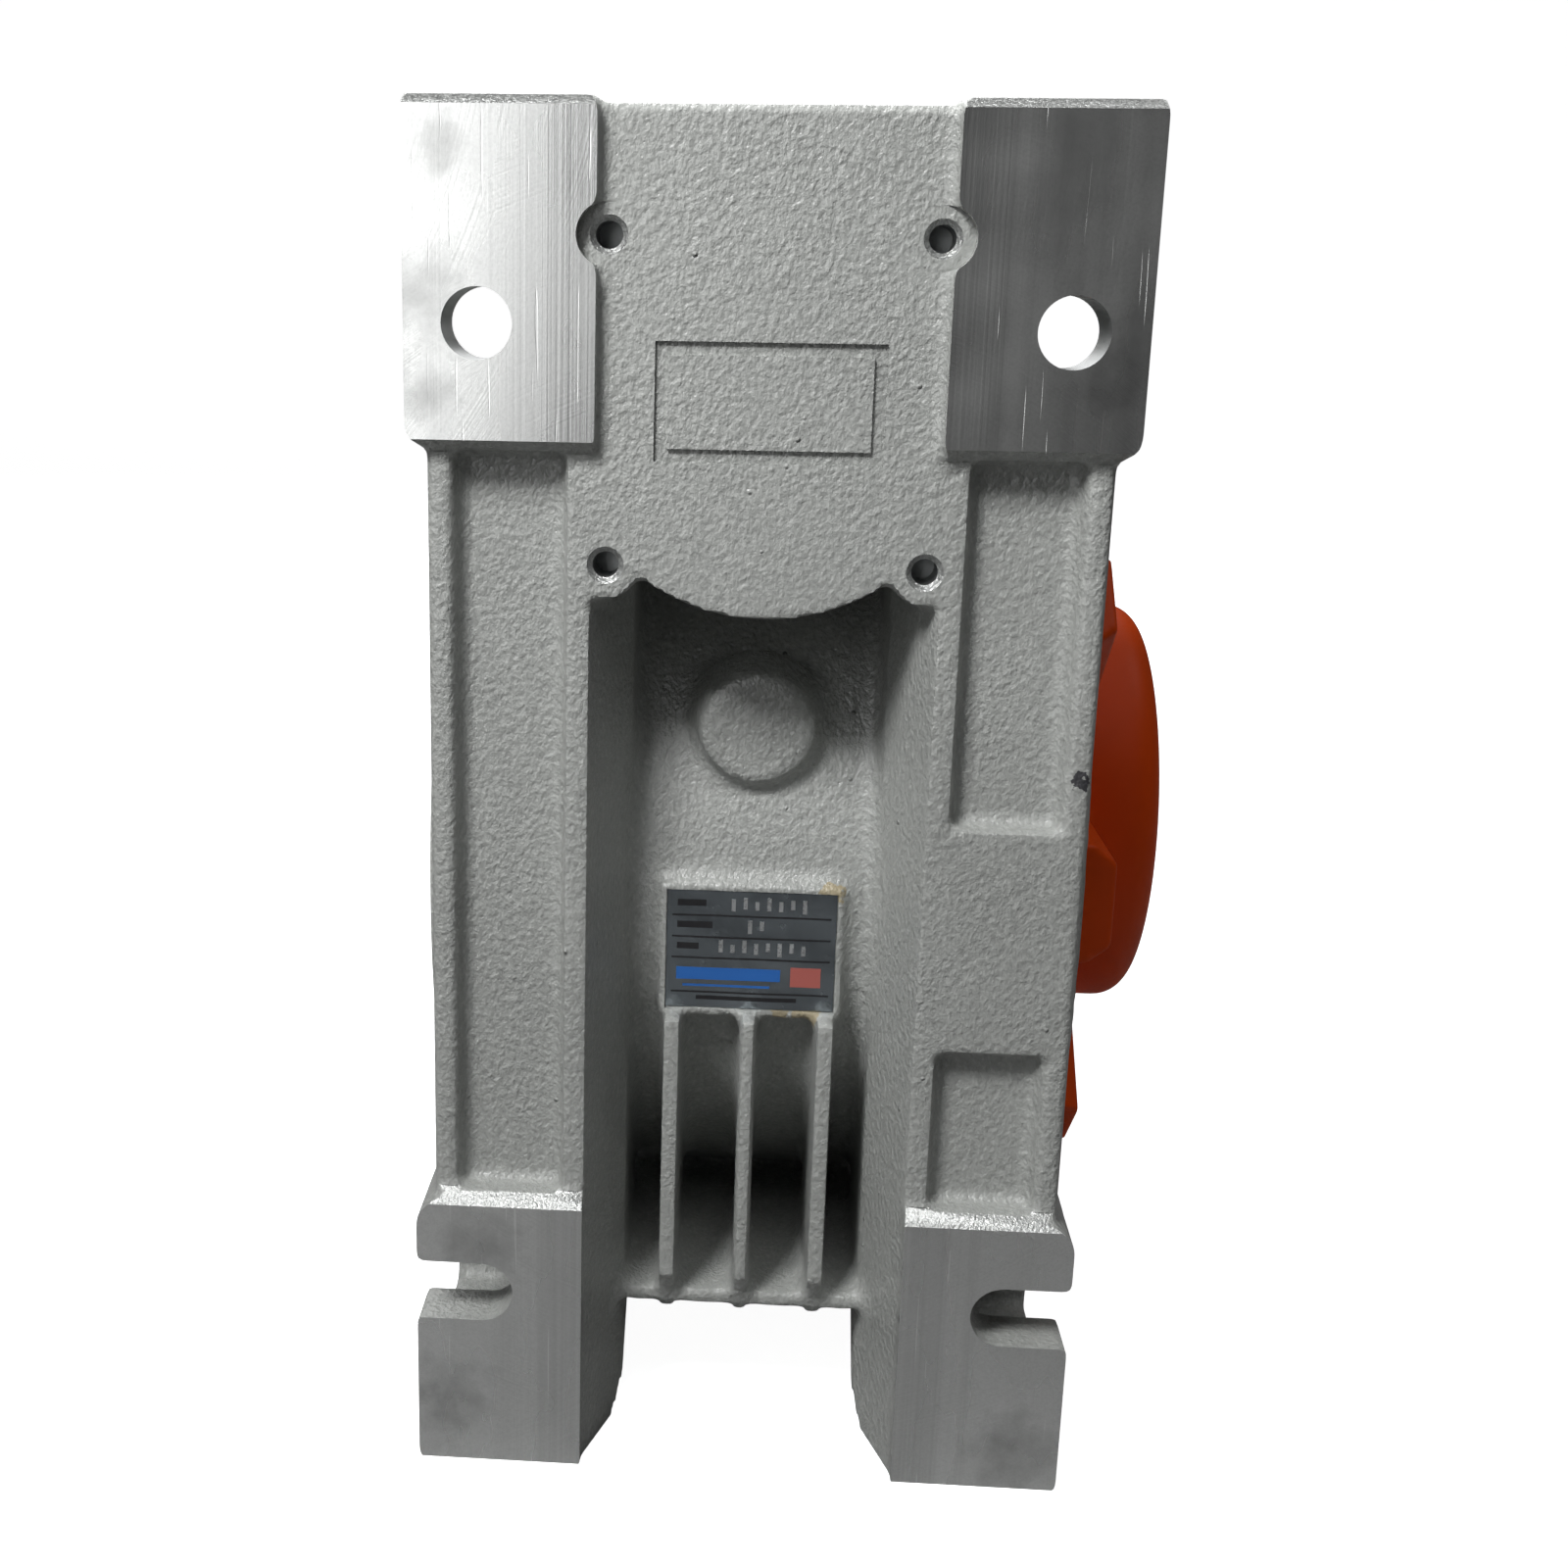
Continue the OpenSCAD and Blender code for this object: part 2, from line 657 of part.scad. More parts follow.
module at_balls() around_x(ball_count, ball_pitch_r) translate([mid_x, 0, 0]) children();

module balls() color([0.86, 0.87, 0.88]) at_balls() sphere(r = ball_r);

module cage() color([0.66, 0.55, 0.32]) difference() {
  tube_x(ball_pitch_r - 0.8, ball_pitch_r + 0.8, mid_x - 7, mid_x + 7);
  at_balls() cyl_y(ball_r + 0.1, -4, 4);
}

module output_seal() color([0.12, 0.12, 0.13]) revolve_x([
  [seal_x, seal_r], [seal_x, shaft_r + 3], [seal_x + 3, shaft_r + run_gap], [seal_x + 5, shaft_r + run_gap],
  [seal_x + seal_w, shaft_r + 1], [seal_x + seal_w, seal_r]
]);

module left_bearing_outer_ring() mirror([1, 0, 0]) outer_ring();
module left_bearing_inner_ring() mirror([1, 0, 0]) inner_ring();
module left_bearing_balls() mirror([1, 0, 0]) balls();
module left_bearing_cage() mirror([1, 0, 0]) cage();
module left_output_seal() mirror([1, 0, 0]) output_seal();
module right_bearing_outer_ring() outer_ring();
module right_bearing_inner_ring() inner_ring();
module right_bearing_balls() balls();
module right_bearing_cage() cage();
module right_output_seal() output_seal();

// ---- Wheel and worm ----

module output_hub() color([0.50, 0.51, 0.53]) difference() {
  revolve_x([
    [-output_shaft_length / 2, 0], [-output_shaft_length / 2, shaft_r - 1.5],
    [-output_shaft_length / 2 + 1.5, shaft_r], [-bearing_x, shaft_r], [-bearing_x, 34],
    [-40, 38], [-12, 42], [-9, 60], [-wheel_width / 2, 63],
    [-wheel_width / 2, hub_seat_r], [wheel_width / 2, hub_seat_r], [wheel_width / 2, 63], [9, 60], [12, 42],
    [40, 38], [bearing_x, 34], [bearing_x, shaft_r], [output_shaft_length / 2 - 1.5, shaft_r],
    [output_shaft_length / 2, shaft_r - 1.5], [output_shaft_length / 2, 0]
  ]);
  cyl_x(output_bore_d / 2, -output_shaft_length, output_shaft_length);
  box([-output_shaft_length, -output_key_w / 2, 0],
    [output_shaft_length, output_key_w / 2, output_key_h - output_bore_d / 2]);
}

wheel_twist = wheel_width * tan(lead_angle) / wheel_pitch_r * 180 / PI;

module wheel_rim() color([0.80, 0.60, 0.28]) difference() {
  rotate([0, 90, 0]) rotate([0, 0, -wheel_twist / 2])
    linear_extrude(height = wheel_width, twist = -wheel_twist, slices = 5, center = true)
      polygon(gear_outline(wheel_teeth, wheel_pitch_r, atan(tan(normal_pressure) / cos(lead_angle)),
        wheel_root_r, wheel_tip_r, flank_backlash, 5, 1));
  cyl_x(hub_seat_r, -wheel_width, wheel_width);
}

worm_twist = thread_length / lead * 360;

module worm_thread() rotate([-90, 0, 0]) rotate([0, 0, -worm_twist / 2])
  linear_extrude(height = thread_length, twist = -worm_twist, slices = 96, center = true, $fn = 4)
    polygon(gear_outline(worm_starts, worm_pitch_r, atan(tan(normal_pressure) / sin(lead_angle)),
      worm_root_r, worm_tip_r, flank_backlash / sin(lead_angle), 5, 4));

module worm_shaft() color([0.62, 0.63, 0.66]) on_worm() {
  worm_thread();
  revolve_y([
    [rear_seat_y + 1, 0], [rear_seat_y + 1, rear_in_r], [rear_seat_y + rear_w, rear_in_r],
    [rear_seat_y + rear_w, worm_root_r - 0.5], [2 - thread_length / 2, worm_root_r - 0.5],
    [2 - thread_length / 2, 0]
  ]);
  difference() {
    revolve_y([
      [thread_length / 2 - 2, 0], [thread_length / 2 - 2, worm_root_r - 0.5],
      [thread_length / 2 + 3, worm_root_r - 0.5], [front_seat_y - 14, worm_root_r + 2],
      [front_seat_y - 8, 28.4], [front_seat_y, 28.4], [front_seat_y, front_in_r],
      [worm_end_y - 1, front_in_r], [worm_end_y, front_in_r - 1], [worm_end_y, 0]
    ]);
    cyl_y(input_bore_d / 2, worm_end_y - motor_bore_l, worm_end_y + 1);
    box([-input_key_w / 2, worm_end_y - motor_bore_l, 0],
      [input_key_w / 2, worm_end_y + 1, input_key_h - input_bore_d / 2]);
  }
}

// ---- Protective cover on the output face ----

dome_r = dome_d / 2;
dome_edge = 7.4;
skin = 2.5;
lug_h = 9;
lug_end = 93.9;
lug_top_w = 9.9;
lug_base_w = 14.5;
cover_flange_r = 68;
skirt_x = hx + spigot_t;

function arc_points(x, r, radius, steps) = [
  for (i = [0 : steps]) [x + radius * sin(i * 90 / steps), r + radius * cos(i * 90 / steps)]
];

function reversed(list) = [for (i = [len(list) - 1 : -1 : 0]) list[i]];

// Thin dome with a rounded edge
module cover_dome() {
  edge_x = hx + cover_h - dome_edge;
  edge_r = dome_r - dome_edge;
  revolve_x(concat(
    [[skirt_x, dome_r - skin], [skirt_x, dome_r]],
    arc_points(edge_x, edge_r, dome_edge, 8),
    [[hx + cover_h, 0], [hx + cover_h - skin, 0]],
    reversed(arc_points(edge_x, edge_r, dome_edge - skin, 6))
  ));
}

module cover_lug() rotate([90, 0, 0]) translate([0, 0, dome_r - 2])
  linear_extrude(lug_end - dome_r + 2) polygon([
    [hx, -lug_base_w], [hx, lug_base_w], [hx + lug_h - 5, lug_base_w - 0.6], [hx + lug_h, lug_top_w],
    [hx + lug_h, -lug_top_w], [hx + lug_h - 5, -lug_base_w + 0.6]
  ]);

module output_cover() color([0.90, 0.33, 0.08]) difference() {
  union() {
    cover_dome();
    tube_x(dome_r - 1.2, cover_flange_r, hx, hx + 5.5);
    for (i = [0 : 7]) rotate([i * 45, 0, 0]) cover_lug();
  }
  cyl_x(spigot_d / 2 + 0.3, hx - 1, skirt_x + 0.2);
  at_cover_lugs() {
    cyl_x(5.3, hx - 1, hx + lug_h + 1);
    cyl_x(8.6, hx + 4, hx + lug_h + 1);
  }
}

module at_cover_lugs() around_x(4, output_pcd / 2) children();

module output_cover_screws() color([0.25, 0.25, 0.27])
  at_cover_lugs() translate([hx + 8.6, 0, 0]) mirror([1, 0, 0]) socket_screw(8, 4.5, m10_r - 0.05, 18, 3.6);

housing();
side_cover();
side_cover_gasket();
side_cover_screws();
nameplate();
breather_plug();
level_plug();
drain_plug();
plug_washers();
input_flange();
input_flange_gasket();
input_flange_screws();
input_seal();
input_circlip();
input_bearing_cup();
input_bearing_rollers();
input_bearing_cone();
rear_bearing_cup();
rear_bearing_rollers();
rear_bearing_cone();
rear_bearing_shim();
left_output_seal();
right_output_seal();
left_bearing_outer_ring();
left_bearing_balls();
left_bearing_cage();
left_bearing_inner_ring();
right_bearing_outer_ring();
right_bearing_balls();
right_bearing_cage();
right_bearing_inner_ring();
output_hub();
wheel_rim();
worm_shaft();
output_cover();
output_cover_screws();
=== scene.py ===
"""Worm gearbox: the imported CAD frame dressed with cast, machined and moulded pieces."""

import json
import math

import bmesh
import bpy
import numpy as np
from mathutils import Matrix, Vector

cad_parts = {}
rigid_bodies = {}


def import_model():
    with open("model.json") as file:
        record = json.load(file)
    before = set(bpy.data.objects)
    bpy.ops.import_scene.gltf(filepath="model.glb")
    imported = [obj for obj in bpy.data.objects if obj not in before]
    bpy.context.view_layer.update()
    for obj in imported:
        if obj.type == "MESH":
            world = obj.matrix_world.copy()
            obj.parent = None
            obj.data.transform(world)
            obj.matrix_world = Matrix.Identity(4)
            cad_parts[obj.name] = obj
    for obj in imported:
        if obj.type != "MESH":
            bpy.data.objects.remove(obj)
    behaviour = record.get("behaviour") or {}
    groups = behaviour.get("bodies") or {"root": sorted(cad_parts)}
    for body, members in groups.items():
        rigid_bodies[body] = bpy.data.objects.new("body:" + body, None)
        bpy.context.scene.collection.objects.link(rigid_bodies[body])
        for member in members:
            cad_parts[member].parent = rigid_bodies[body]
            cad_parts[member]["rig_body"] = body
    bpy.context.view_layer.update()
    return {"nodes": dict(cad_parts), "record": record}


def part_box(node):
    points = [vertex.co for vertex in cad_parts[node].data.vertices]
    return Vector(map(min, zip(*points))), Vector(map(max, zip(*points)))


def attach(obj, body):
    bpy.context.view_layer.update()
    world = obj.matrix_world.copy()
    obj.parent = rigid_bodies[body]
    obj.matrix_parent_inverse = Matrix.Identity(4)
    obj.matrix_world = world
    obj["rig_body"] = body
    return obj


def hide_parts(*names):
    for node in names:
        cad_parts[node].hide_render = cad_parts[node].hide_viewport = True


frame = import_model()
NODES = frame["nodes"]

MM = 0.001
X, Y, Z = 0, 1, 2

# ---- Sizes taken from the frame ----

CASE_LO, CASE_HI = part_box("housing")
COVER_LO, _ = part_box("output_cover")
FLANGE_LO, FLANGE_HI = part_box("input_flange")
PLATE_LO, PLATE_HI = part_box("nameplate")
PAD_Y = CASE_HI.y
BASE_Z = CASE_LO.z
WORM_Z = (FLANGE_LO.z + FLANGE_HI.z) / 2
OUTPUT_X = COVER_LO.x
SPIGOT_X = CASE_HI.x

# ---- Casing sizes that the frame doesn't name ----

# Outside: end panels, pads and feet
TOP_Z = 167.5 * MM
PANEL_Y = PAD_Y - 3 * MM
PLATE_Y = PAD_Y - 14 * MM
PAD_Z = 100.5 * MM
PAD_HOLE_Z = 125 * MM
FOOT_TOP = -64 * MM
FOOT_X, FOOT_Y = 57.5 * MM, 85 * MM
HOLE_R = 7 * MM
PANEL_TAPS = [(x, WORM_Z + z) for x in (-32 * MM, 32 * MM) for z in (-32 * MM, 32 * MM)]
TAP_BOSS_R = 6.2 * MM
BASE_BOLTS = [(x, y) for x in (-FOOT_X, FOOT_X) for y in (-FOOT_Y, FOOT_Y)]
MARK_Z = 110.5 * MM
MARK_HALF_X, MARK_HALF_Z = 21.4 * MM, 10.4 * MM
GROOVE_HALF, GROOVE_DEEP = 1.3 * MM, 0.8 * MM

# Round the output axis: seat of the side cover, wheel chamber, bearing boss
SEAT_X = 57.5 * MM
FLANGE_R = 104 * MM
SPIGOT_R = 65 * MM
CAVITY_R, CAVITY_X = 91.5 * MM, 51 * MM
POCKET_R, POCKET_X = 74 * MM, 62 * MM
BOSS_R, BOSS_X = 58 * MM, 42 * MM
BEARING_R, BEARING_X = 47.5 * MM, 64 * MM
SEAL_R = 40 * MM
FACE_TAP_R, COVER_TAP_R = 4.25 * MM, 2.5 * MM

# Round the worm axis: tunnel, bearing seats, circlip groove
BARREL_R = 42.5 * MM
TUNNEL_R = 34 * MM
REAR_SEAT_R, REAR_SEAT_Y, REAR_END_Y = 31 * MM, -91 * MM, -116 * MM
FRONT_SEAT_R, FRONT_SEAT_Y = 40 * MM, 94 * MM
CIRCLIP_R, CIRCLIP_Y, CIRCLIP_WIDE = 42 * MM, 114 * MM, 2.5 * MM
PILOT_R, PILOT_DEEP = 55 * MM, 5 * MM
INNER_SCREWS_R, MOTOR_BOLTS_R = 46.5 * MM, 65 * MM

# Oil holes
PLUG_R = 8 * MM
BREATHER_Y = 30 * MM
LEVEL_Z = 39.5 * MM

# ---- Marks of use: place and radius ----

GLUE_STAINS = [
    ((18 * MM, -103 * MM, 4 * MM), 2.6 * MM), ((13 * MM, -103 * MM, -25.5 * MM), 2.8 * MM),
    ((7 * MM, -103 * MM, -25.8 * MM), 2.0 * MM),
]
PAINT_CHIPS = [
    ((65.8 * MM, -123.3 * MM, 36 * MM), 1.7 * MM), ((35.3 * MM, -125.5 * MM, -87 * MM), 1.3 * MM),
]
SMUDGES = [
    ((-69 * MM, -PAD_Y, 130 * MM), 13 * MM), ((-70 * MM, -PAD_Y, 112 * MM), 9 * MM),
    ((-66 * MM, -PAD_Y, 158 * MM), 7 * MM), ((-58 * MM, -PAD_Y, -74 * MM), 12 * MM),
    ((-66 * MM, -PAD_Y, -112 * MM), 13 * MM), ((66 * MM, -PAD_Y, 118 * MM), 10 * MM),
    ((62 * MM, -PAD_Y, -118 * MM), 12 * MM),
]

# ---- Casting and machining ----

STOCK = 2 * MM      # metal left on a face for milling
PAST = 1 * MM       # how far a cutter runs out of the metal
GROW = 0.7 * MM     # how much wider than its hole a filler is
VOXEL = 1.1 * MM
EPS = 0.01 * MM


# ---- Node helpers ----

class Tree:
    """A material's node tree, with short calls for the nodes that repeat."""

    def __init__(self, name):
        self.material = bpy.data.materials.new(name)
        self.material.use_nodes = True
        self.nodes = self.material.node_tree.nodes
        self.links = self.material.node_tree.links
        self.nodes.clear()
        self.out = self.add("ShaderNodeOutputMaterial")
        self.shader = self.add("ShaderNodeBsdfPrincipled")
        self.links.new(self.shader.outputs[0], self.out.inputs[0])
        self.where = self.add("ShaderNodeTexCoord").outputs["Object"]

    def add(self, kind, **settings):
        node = self.nodes.new(kind)
        for key, value in settings.items():
            setattr(node, key, value)
        return node

    def put(self, socket, value):
        if isinstance(value, bpy.types.NodeSocket):
            self.links.new(value, socket)
        elif isinstance(value, (tuple, list)) and len(value) == 3 and socket.type == "RGBA":
            socket.default_value = (*value, 1)
        else:
            socket.default_value = value

    def principled(self, **sockets):
        for key, value in sockets.items():
            self.put(self.shader.inputs[key.replace("_", " ")], value)

    def scaled(self, scale, turn=(0, 0, 0)):
        node = self.add("ShaderNodeMapping")
        self.put(node.inputs["Vector"], self.where)
        node.inputs["Scale"].default_value = scale
        node.inputs["Rotation"].default_value = turn
        return node.outputs[0]

    def noise(self, size, detail=2.0, rough=0.5, vector=None):
        """Noise whose features are about size metres across."""
        node = self.add("ShaderNodeTexNoise")
        self.put(node.inputs["Vector"], vector or self.where)
        node.inputs["Scale"].default_value = 1 / size
        node.inputs["Detail"].default_value = detail
        node.inputs["Roughness"].default_value = rough
        return node.outputs["Fac"]

    def cells(self, size):
        """Distance from the nearest of scattered points that are about size metres apart."""
        node = self.add("ShaderNodeTexVoronoi")
        self.put(node.inputs["Vector"], self.where)
        node.inputs["Scale"].default_value = 1 / size
        return node.outputs["Distance"]

    def ramp(self, value, low, high, start=0.0, end=1.0):
        node = self.add("ShaderNodeMapRange")
        self.put(node.inputs["Value"], value)
        node.inputs["From Min"].default_value = low
        node.inputs["From Max"].default_value = high
        node.inputs["To Min"].default_value = start
        node.inputs["To Max"].default_value = end
        return node.outputs[0]

    def math(self, operation, a, b=0.0, clamp=False):
        node = self.add("ShaderNodeMath", operation=operation, use_clamp=clamp)
        self.put(node.inputs[0], a)
        self.put(node.inputs[1], b)
        return node.outputs[0]

    def mix(self, share, a, b):
        node = self.add("ShaderNodeMix", data_type="RGBA")
        self.put(node.inputs["Factor"], share)
        self.put(node.inputs[6], a)
        self.put(node.inputs[7], b)
        return node.outputs[2]

    def bump(self, height, distance, strength=1.0):
        node = self.add("ShaderNodeBump")
        self.put(node.inputs["Height"], height)
        node.inputs["Distance"].default_value = distance
        node.inputs["Strength"].default_value = strength
        return node.outputs[0]

    def place(self, axis):
        """One coordinate of the shaded point."""
        split = self.add("ShaderNodeSeparateXYZ")
        self.put(split.inputs[0], self.where)
        return split.outputs[axis]

    def edges(self):
        """Over 0.5 on outer edges, under 0.5 in hollows."""
        return self.add("ShaderNodeNewGeometry").outputs["Pointiness"]

    def distance(self, centre):
        node = self.add("ShaderNodeVectorMath", operation="DISTANCE")
        self.put(node.inputs[0], self.where)
        node.inputs[1].default_value = centre
        return node.outputs["Value"]

    def radius_from(self, centre):
        """Distance from a point, as a vector that makes noise run in rings."""
        join = self.add("ShaderNodeCombineXYZ")
        self.put(join.inputs[0], self.distance(centre))
        return join.outputs[0]

    def wobbly_distance(self, centre, size, detail, swing):
        """Distance from a point, varied by up to swing either way with noise of the given size."""
        wobble = self.ramp(self.noise(size, detail), 0.3, 0.7, -swing, swing)
        return self.math("ADD", self.distance(centre), wobble)

    def haze(self, centre, radius):
        """A soft cloudy spot: 1 at a point, 0 beyond the radius."""
        return self.ramp(self.wobbly_distance(centre, 6 * MM, 3.0, 0.4 * radius), radius, 0.0)

    def near(self, centre, radius, ragged=0.35):
        """1 within a ragged spot round a point, 0 outside it."""
        far = self.wobbly_distance(centre, 1.5 * MM, 2.0, ragged * radius)
        return self.ramp(far, radius * 1.05, radius * 0.95)


def shade(colour, factor):
    """A colour made darker or lighter."""
    return tuple(min(1.0, c * factor) for c in colour)


# ---- Materials ----

def painted_casting(name, colour):
    """Light grey paint with an orange-peel grain and casting nubs; painted highlights on the grain's peaks,
    the outer edges and the top edge, painted shade in the grain's valleys and in hollows.
    """
    t = Tree(name)
    lean = t.scaled((1, 1, 0.8), (0.5, 0.3, 0.2))
    peel = t.noise(1.15 * MM, 2.0, 0.55, lean)
    patch = t.ramp(t.noise(28 * MM, 2.0), 0.35, 0.65, 0.7, 1.0)
    cloud = t.noise(45 * MM, 3.0, 0.6)
    tint = t.mix(t.ramp(cloud, 0.35, 0.7), shade(colour, 1.03), shade(colour, 0.92))
    # Painted highlight on the peel's peaks and painted shade in its valleys: lighter and darker copies of the
    # paint colour
    tint = t.mix(t.math("MULTIPLY", t.ramp(peel, 0.55, 0.70), 0.45), tint, shade(colour, 1.5))
    tint = t.mix(t.math("MULTIPLY", t.ramp(peel, 0.45, 0.32), 0.4), tint, shade(colour, 0.62))
    # Outer edges lighter: partly paint rubbed thin, partly a painted highlight along the rounded edges; none
    # round the panel's taps
    rub_and_highlight_share = t.ramp(t.noise(3 * MM, 3.0), 0.3, 0.6, 0.15, 0.5)
    edge_wear_and_highlight = t.math("MULTIPLY", t.ramp(t.edges(), 0.555, 0.64), rub_and_highlight_share)
    for x, z in PANEL_TAPS:
        edge_wear_and_highlight = t.math("SUBTRACT", edge_wear_and_highlight, t.near((x, -PANEL_Y, z), 8 * MM, 0.0), clamp=True)
    tint = t.mix(edge_wear_and_highlight, tint, shade(colour, 1.45))
    # Painted highlight: a lighter band along the panel's top edge
    top = t.ramp(t.place(Z), TOP_Z - 3.2 * MM, TOP_Z - 2.4 * MM)
    tint = t.mix(t.math("MULTIPLY", top, t.ramp(cloud, 0.3, 0.6, 0.4, 0.9)), tint, shade(colour, 1.5))
    # Painted shade: hollows and inner corners darker
    painted_hollow_shade = t.math("MULTIPLY", t.ramp(t.edges(), 0.48, 0.42), 0.3)
    tint = t.mix(painted_hollow_shade, tint, shade(colour, 0.55))
    for place, radius in GLUE_STAINS:
        tint = t.mix(t.math("MULTIPLY", t.near(place, radius), 0.5), tint, (0.36, 0.25, 0.06))
    for place, radius in PAINT_CHIPS:
        tint = t.mix(t.near(place, radius, 0.6), tint, (0.05, 0.05, 0.055))
    dots = t.ramp(t.cells(6 * MM), 0.10, 0.02)
    nub = t.math("MULTIPLY", dots, t.ramp(t.noise(35 * MM, 1.0), 0.56, 0.6))
    height = t.math("MULTIPLY", peel, patch)
    height = t.math("ADD", height, t.math("MULTIPLY", nub, 1.1))
    t.principled(
        Base_Color=tint, Roughness=t.ramp(peel, 0.3, 0.7, 0.30, 0.42),
        Normal=t.bump(height, 0.62 * MM, 1.0),
    )
    return t.material


def milled(name, colour):
    """Face-milled light alloy: feed lines along Z, arcs of the cutter, clouded oxide and small scratches."""
    t = Tree(name)
    lines = t.noise(0.6 * MM, 2.0, 0.6, t.scaled((1, 1, 0.004)))
    bands = t.noise(9 * MM, 2.0, 0.5, t.scaled((1, 1, 0.02)))
    arcs = t.noise(0.5 * MM, 2.0, 0.6, t.radius_from((0, -PAD_Y, 0.02)))
    cross = t.noise(0.7 * MM, 2.0, 0.6, t.radius_from((-0.2, -PAD_Y, 0.2)))
    cloud = t.noise(20 * MM, 2.0, 0.45)
    grit = t.noise(0.5 * MM, 2.0, 0.6)
    patch = t.noise(30 * MM, 2.0, 0.5)
    inner = t.ramp(t.math("ABSOLUTE", t.place(X)), 47 * MM, 44 * MM)
    ruled = t.math("MULTIPLY", lines, t.math("MAXIMUM", inner, t.ramp(bands, 0.45, 0.65, 0.15, 0.7)))
    swept = t.math("MULTIPLY", arcs, t.ramp(patch, 0.42, 0.6, 0.0, 0.8))
    crossed = t.math("MULTIPLY", cross, t.ramp(patch, 0.58, 0.45, 0.0, 0.6))
    marks = t.math("ADD", t.math("ADD", ruled, swept), crossed)
    scratch = t.ramp(t.noise(0.8 * MM, 0.0, 0.5, t.scaled((1, 1, 0.03), (0, 0.75, 0))), 0.76, 0.79)
    tint = t.mix(t.ramp(cloud, 0.2, 0.8), colour, shade(colour, 0.86))
    tint = t.mix(t.ramp(marks, 0.45, 1.25, 0.0, 0.7), tint, shade(colour, 0.62))
    tint = t.mix(t.ramp(grit, 0.4, 0.75, 0.0, 0.3), tint, shade(colour, 0.6))
    tint = t.mix(t.math("MULTIPLY", scratch, 0.5), tint, shade(colour, 1.2))
    for spot, radius in SMUDGES:
        tint = t.mix(t.math("MULTIPLY", t.haze(spot, radius), 0.5), tint, shade(colour, 0.35))
    value = t.math("ADD", t.ramp(cloud, 0.2, 0.8, 0.22, 0.32), t.ramp(bands, 0.3, 0.7, -0.03, 0.04))
    height = t.math("SUBTRACT", marks, t.math("MULTIPLY", scratch, 0.8))
    t.principled(Base_Color=tint, Metallic=1.0, Roughness=value, Normal=t.bump(height, 0.03 * MM, 0.6))
    return t.material


def rough_alloy(name, colour):
    """Bare blasted alloy on the bevels: bright and coarse."""
    t = Tree(name)
    grain = t.noise(0.7 * MM, 2.0, 0.7)
    tint = t.mix(t.ramp(grain, 0.4, 0.6), shade(colour, 0.7), colour)
    t.principled(
        Base_Color=tint, Metallic=0.75, Roughness=t.ramp(grain, 0.3, 0.7, 0.3, 0.55),
        Normal=t.bump(grain, 0.35 * MM, 0.9),
    )
    return t.material


def metal(name, colour, rough, grain=0.4 * MM, dent=0.01 * MM):
    """Metal with a fine grain and slightly clouded colour."""
    t = Tree(name)
    fine = t.noise(grain, 3.0, 0.6)
    cloud = t.noise(15 * MM, 2.0)
    tint = t.mix(t.ramp(cloud, 0.3, 0.7), colour, shade(colour, 0.78))
    t.principled(
        Base_Color=tint, Metallic=1.0, Roughness=t.ramp(fine, 0.3, 0.7, rough - 0.07, rough + 0.08),
        Normal=t.bump(fine, dent, 0.5),
    )
    return t.material


def turned_metal(name, colour, axis, centre, rough):
    """Metal with fine rings left by turning round the given axis."""
    t = Tree(name)
    move = t.add("ShaderNodeVectorMath", operation="SUBTRACT")
    t.put(move.inputs[0], t.where)
    move.inputs[1].default_value = centre
    flat = t.add("ShaderNodeVectorMath", operation="MULTIPLY")
    t.put(flat.inputs[0], move.outputs[0])
    flat.inputs[1].default_value = tuple(0 if i == axis else 1 for i in range(3))
    length = t.add("ShaderNodeVectorMath", operation="LENGTH")
    t.put(length.inputs[0], flat.outputs[0])
    split = t.add("ShaderNodeSeparateXYZ")
    t.put(split.inputs[0], move.outputs[0])
    join = t.add("ShaderNodeCombineXYZ")
    t.put(join.inputs[0], length.outputs["Value"])
    t.put(join.inputs[1], split.outputs[axis])
    rings = t.noise(0.35 * MM, 2.0, 0.6, join.outputs[0])
    bands = t.noise(3 * MM, 2.0, 0.5, join.outputs[0])
    cloud = t.noise(12 * MM, 3.0, 0.6)
    tint = t.mix(t.ramp(cloud, 0.3, 0.7), colour, shade(colour, 0.8))
    clouded = t.ramp(cloud, 0.3, 0.7, rough - 0.05, rough + 0.07)
    value = t.math("ADD", clouded, t.ramp(bands, 0.3, 0.7, -0.04, 0.04))
    t.principled(Base_Color=tint, Metallic=1.0, Roughness=value, Normal=t.bump(rings, 0.02 * MM, 0.6))
    return t.material


def plastic(name, colour, rough, grain=0.6 * MM, dent=0.03 * MM, gloss=0.5):
    """Plastic, rubber, paper or ink: a fine grain over a slightly clouded colour."""
    t = Tree(name)
    fine = t.noise(grain, 2.0)
    cloud = t.noise(40 * MM, 2.0)
    tint = t.mix(t.ramp(cloud, 0.3, 0.7), colour, shade(colour, 0.88))
    t.principled(
        Base_Color=tint, Roughness=t.ramp(fine, 0.3, 0.7, rough - 0.05, rough + 0.07),
        Specular_IOR_Level=gloss, Normal=t.bump(fine, dent, 0.5),
    )
    return t.material


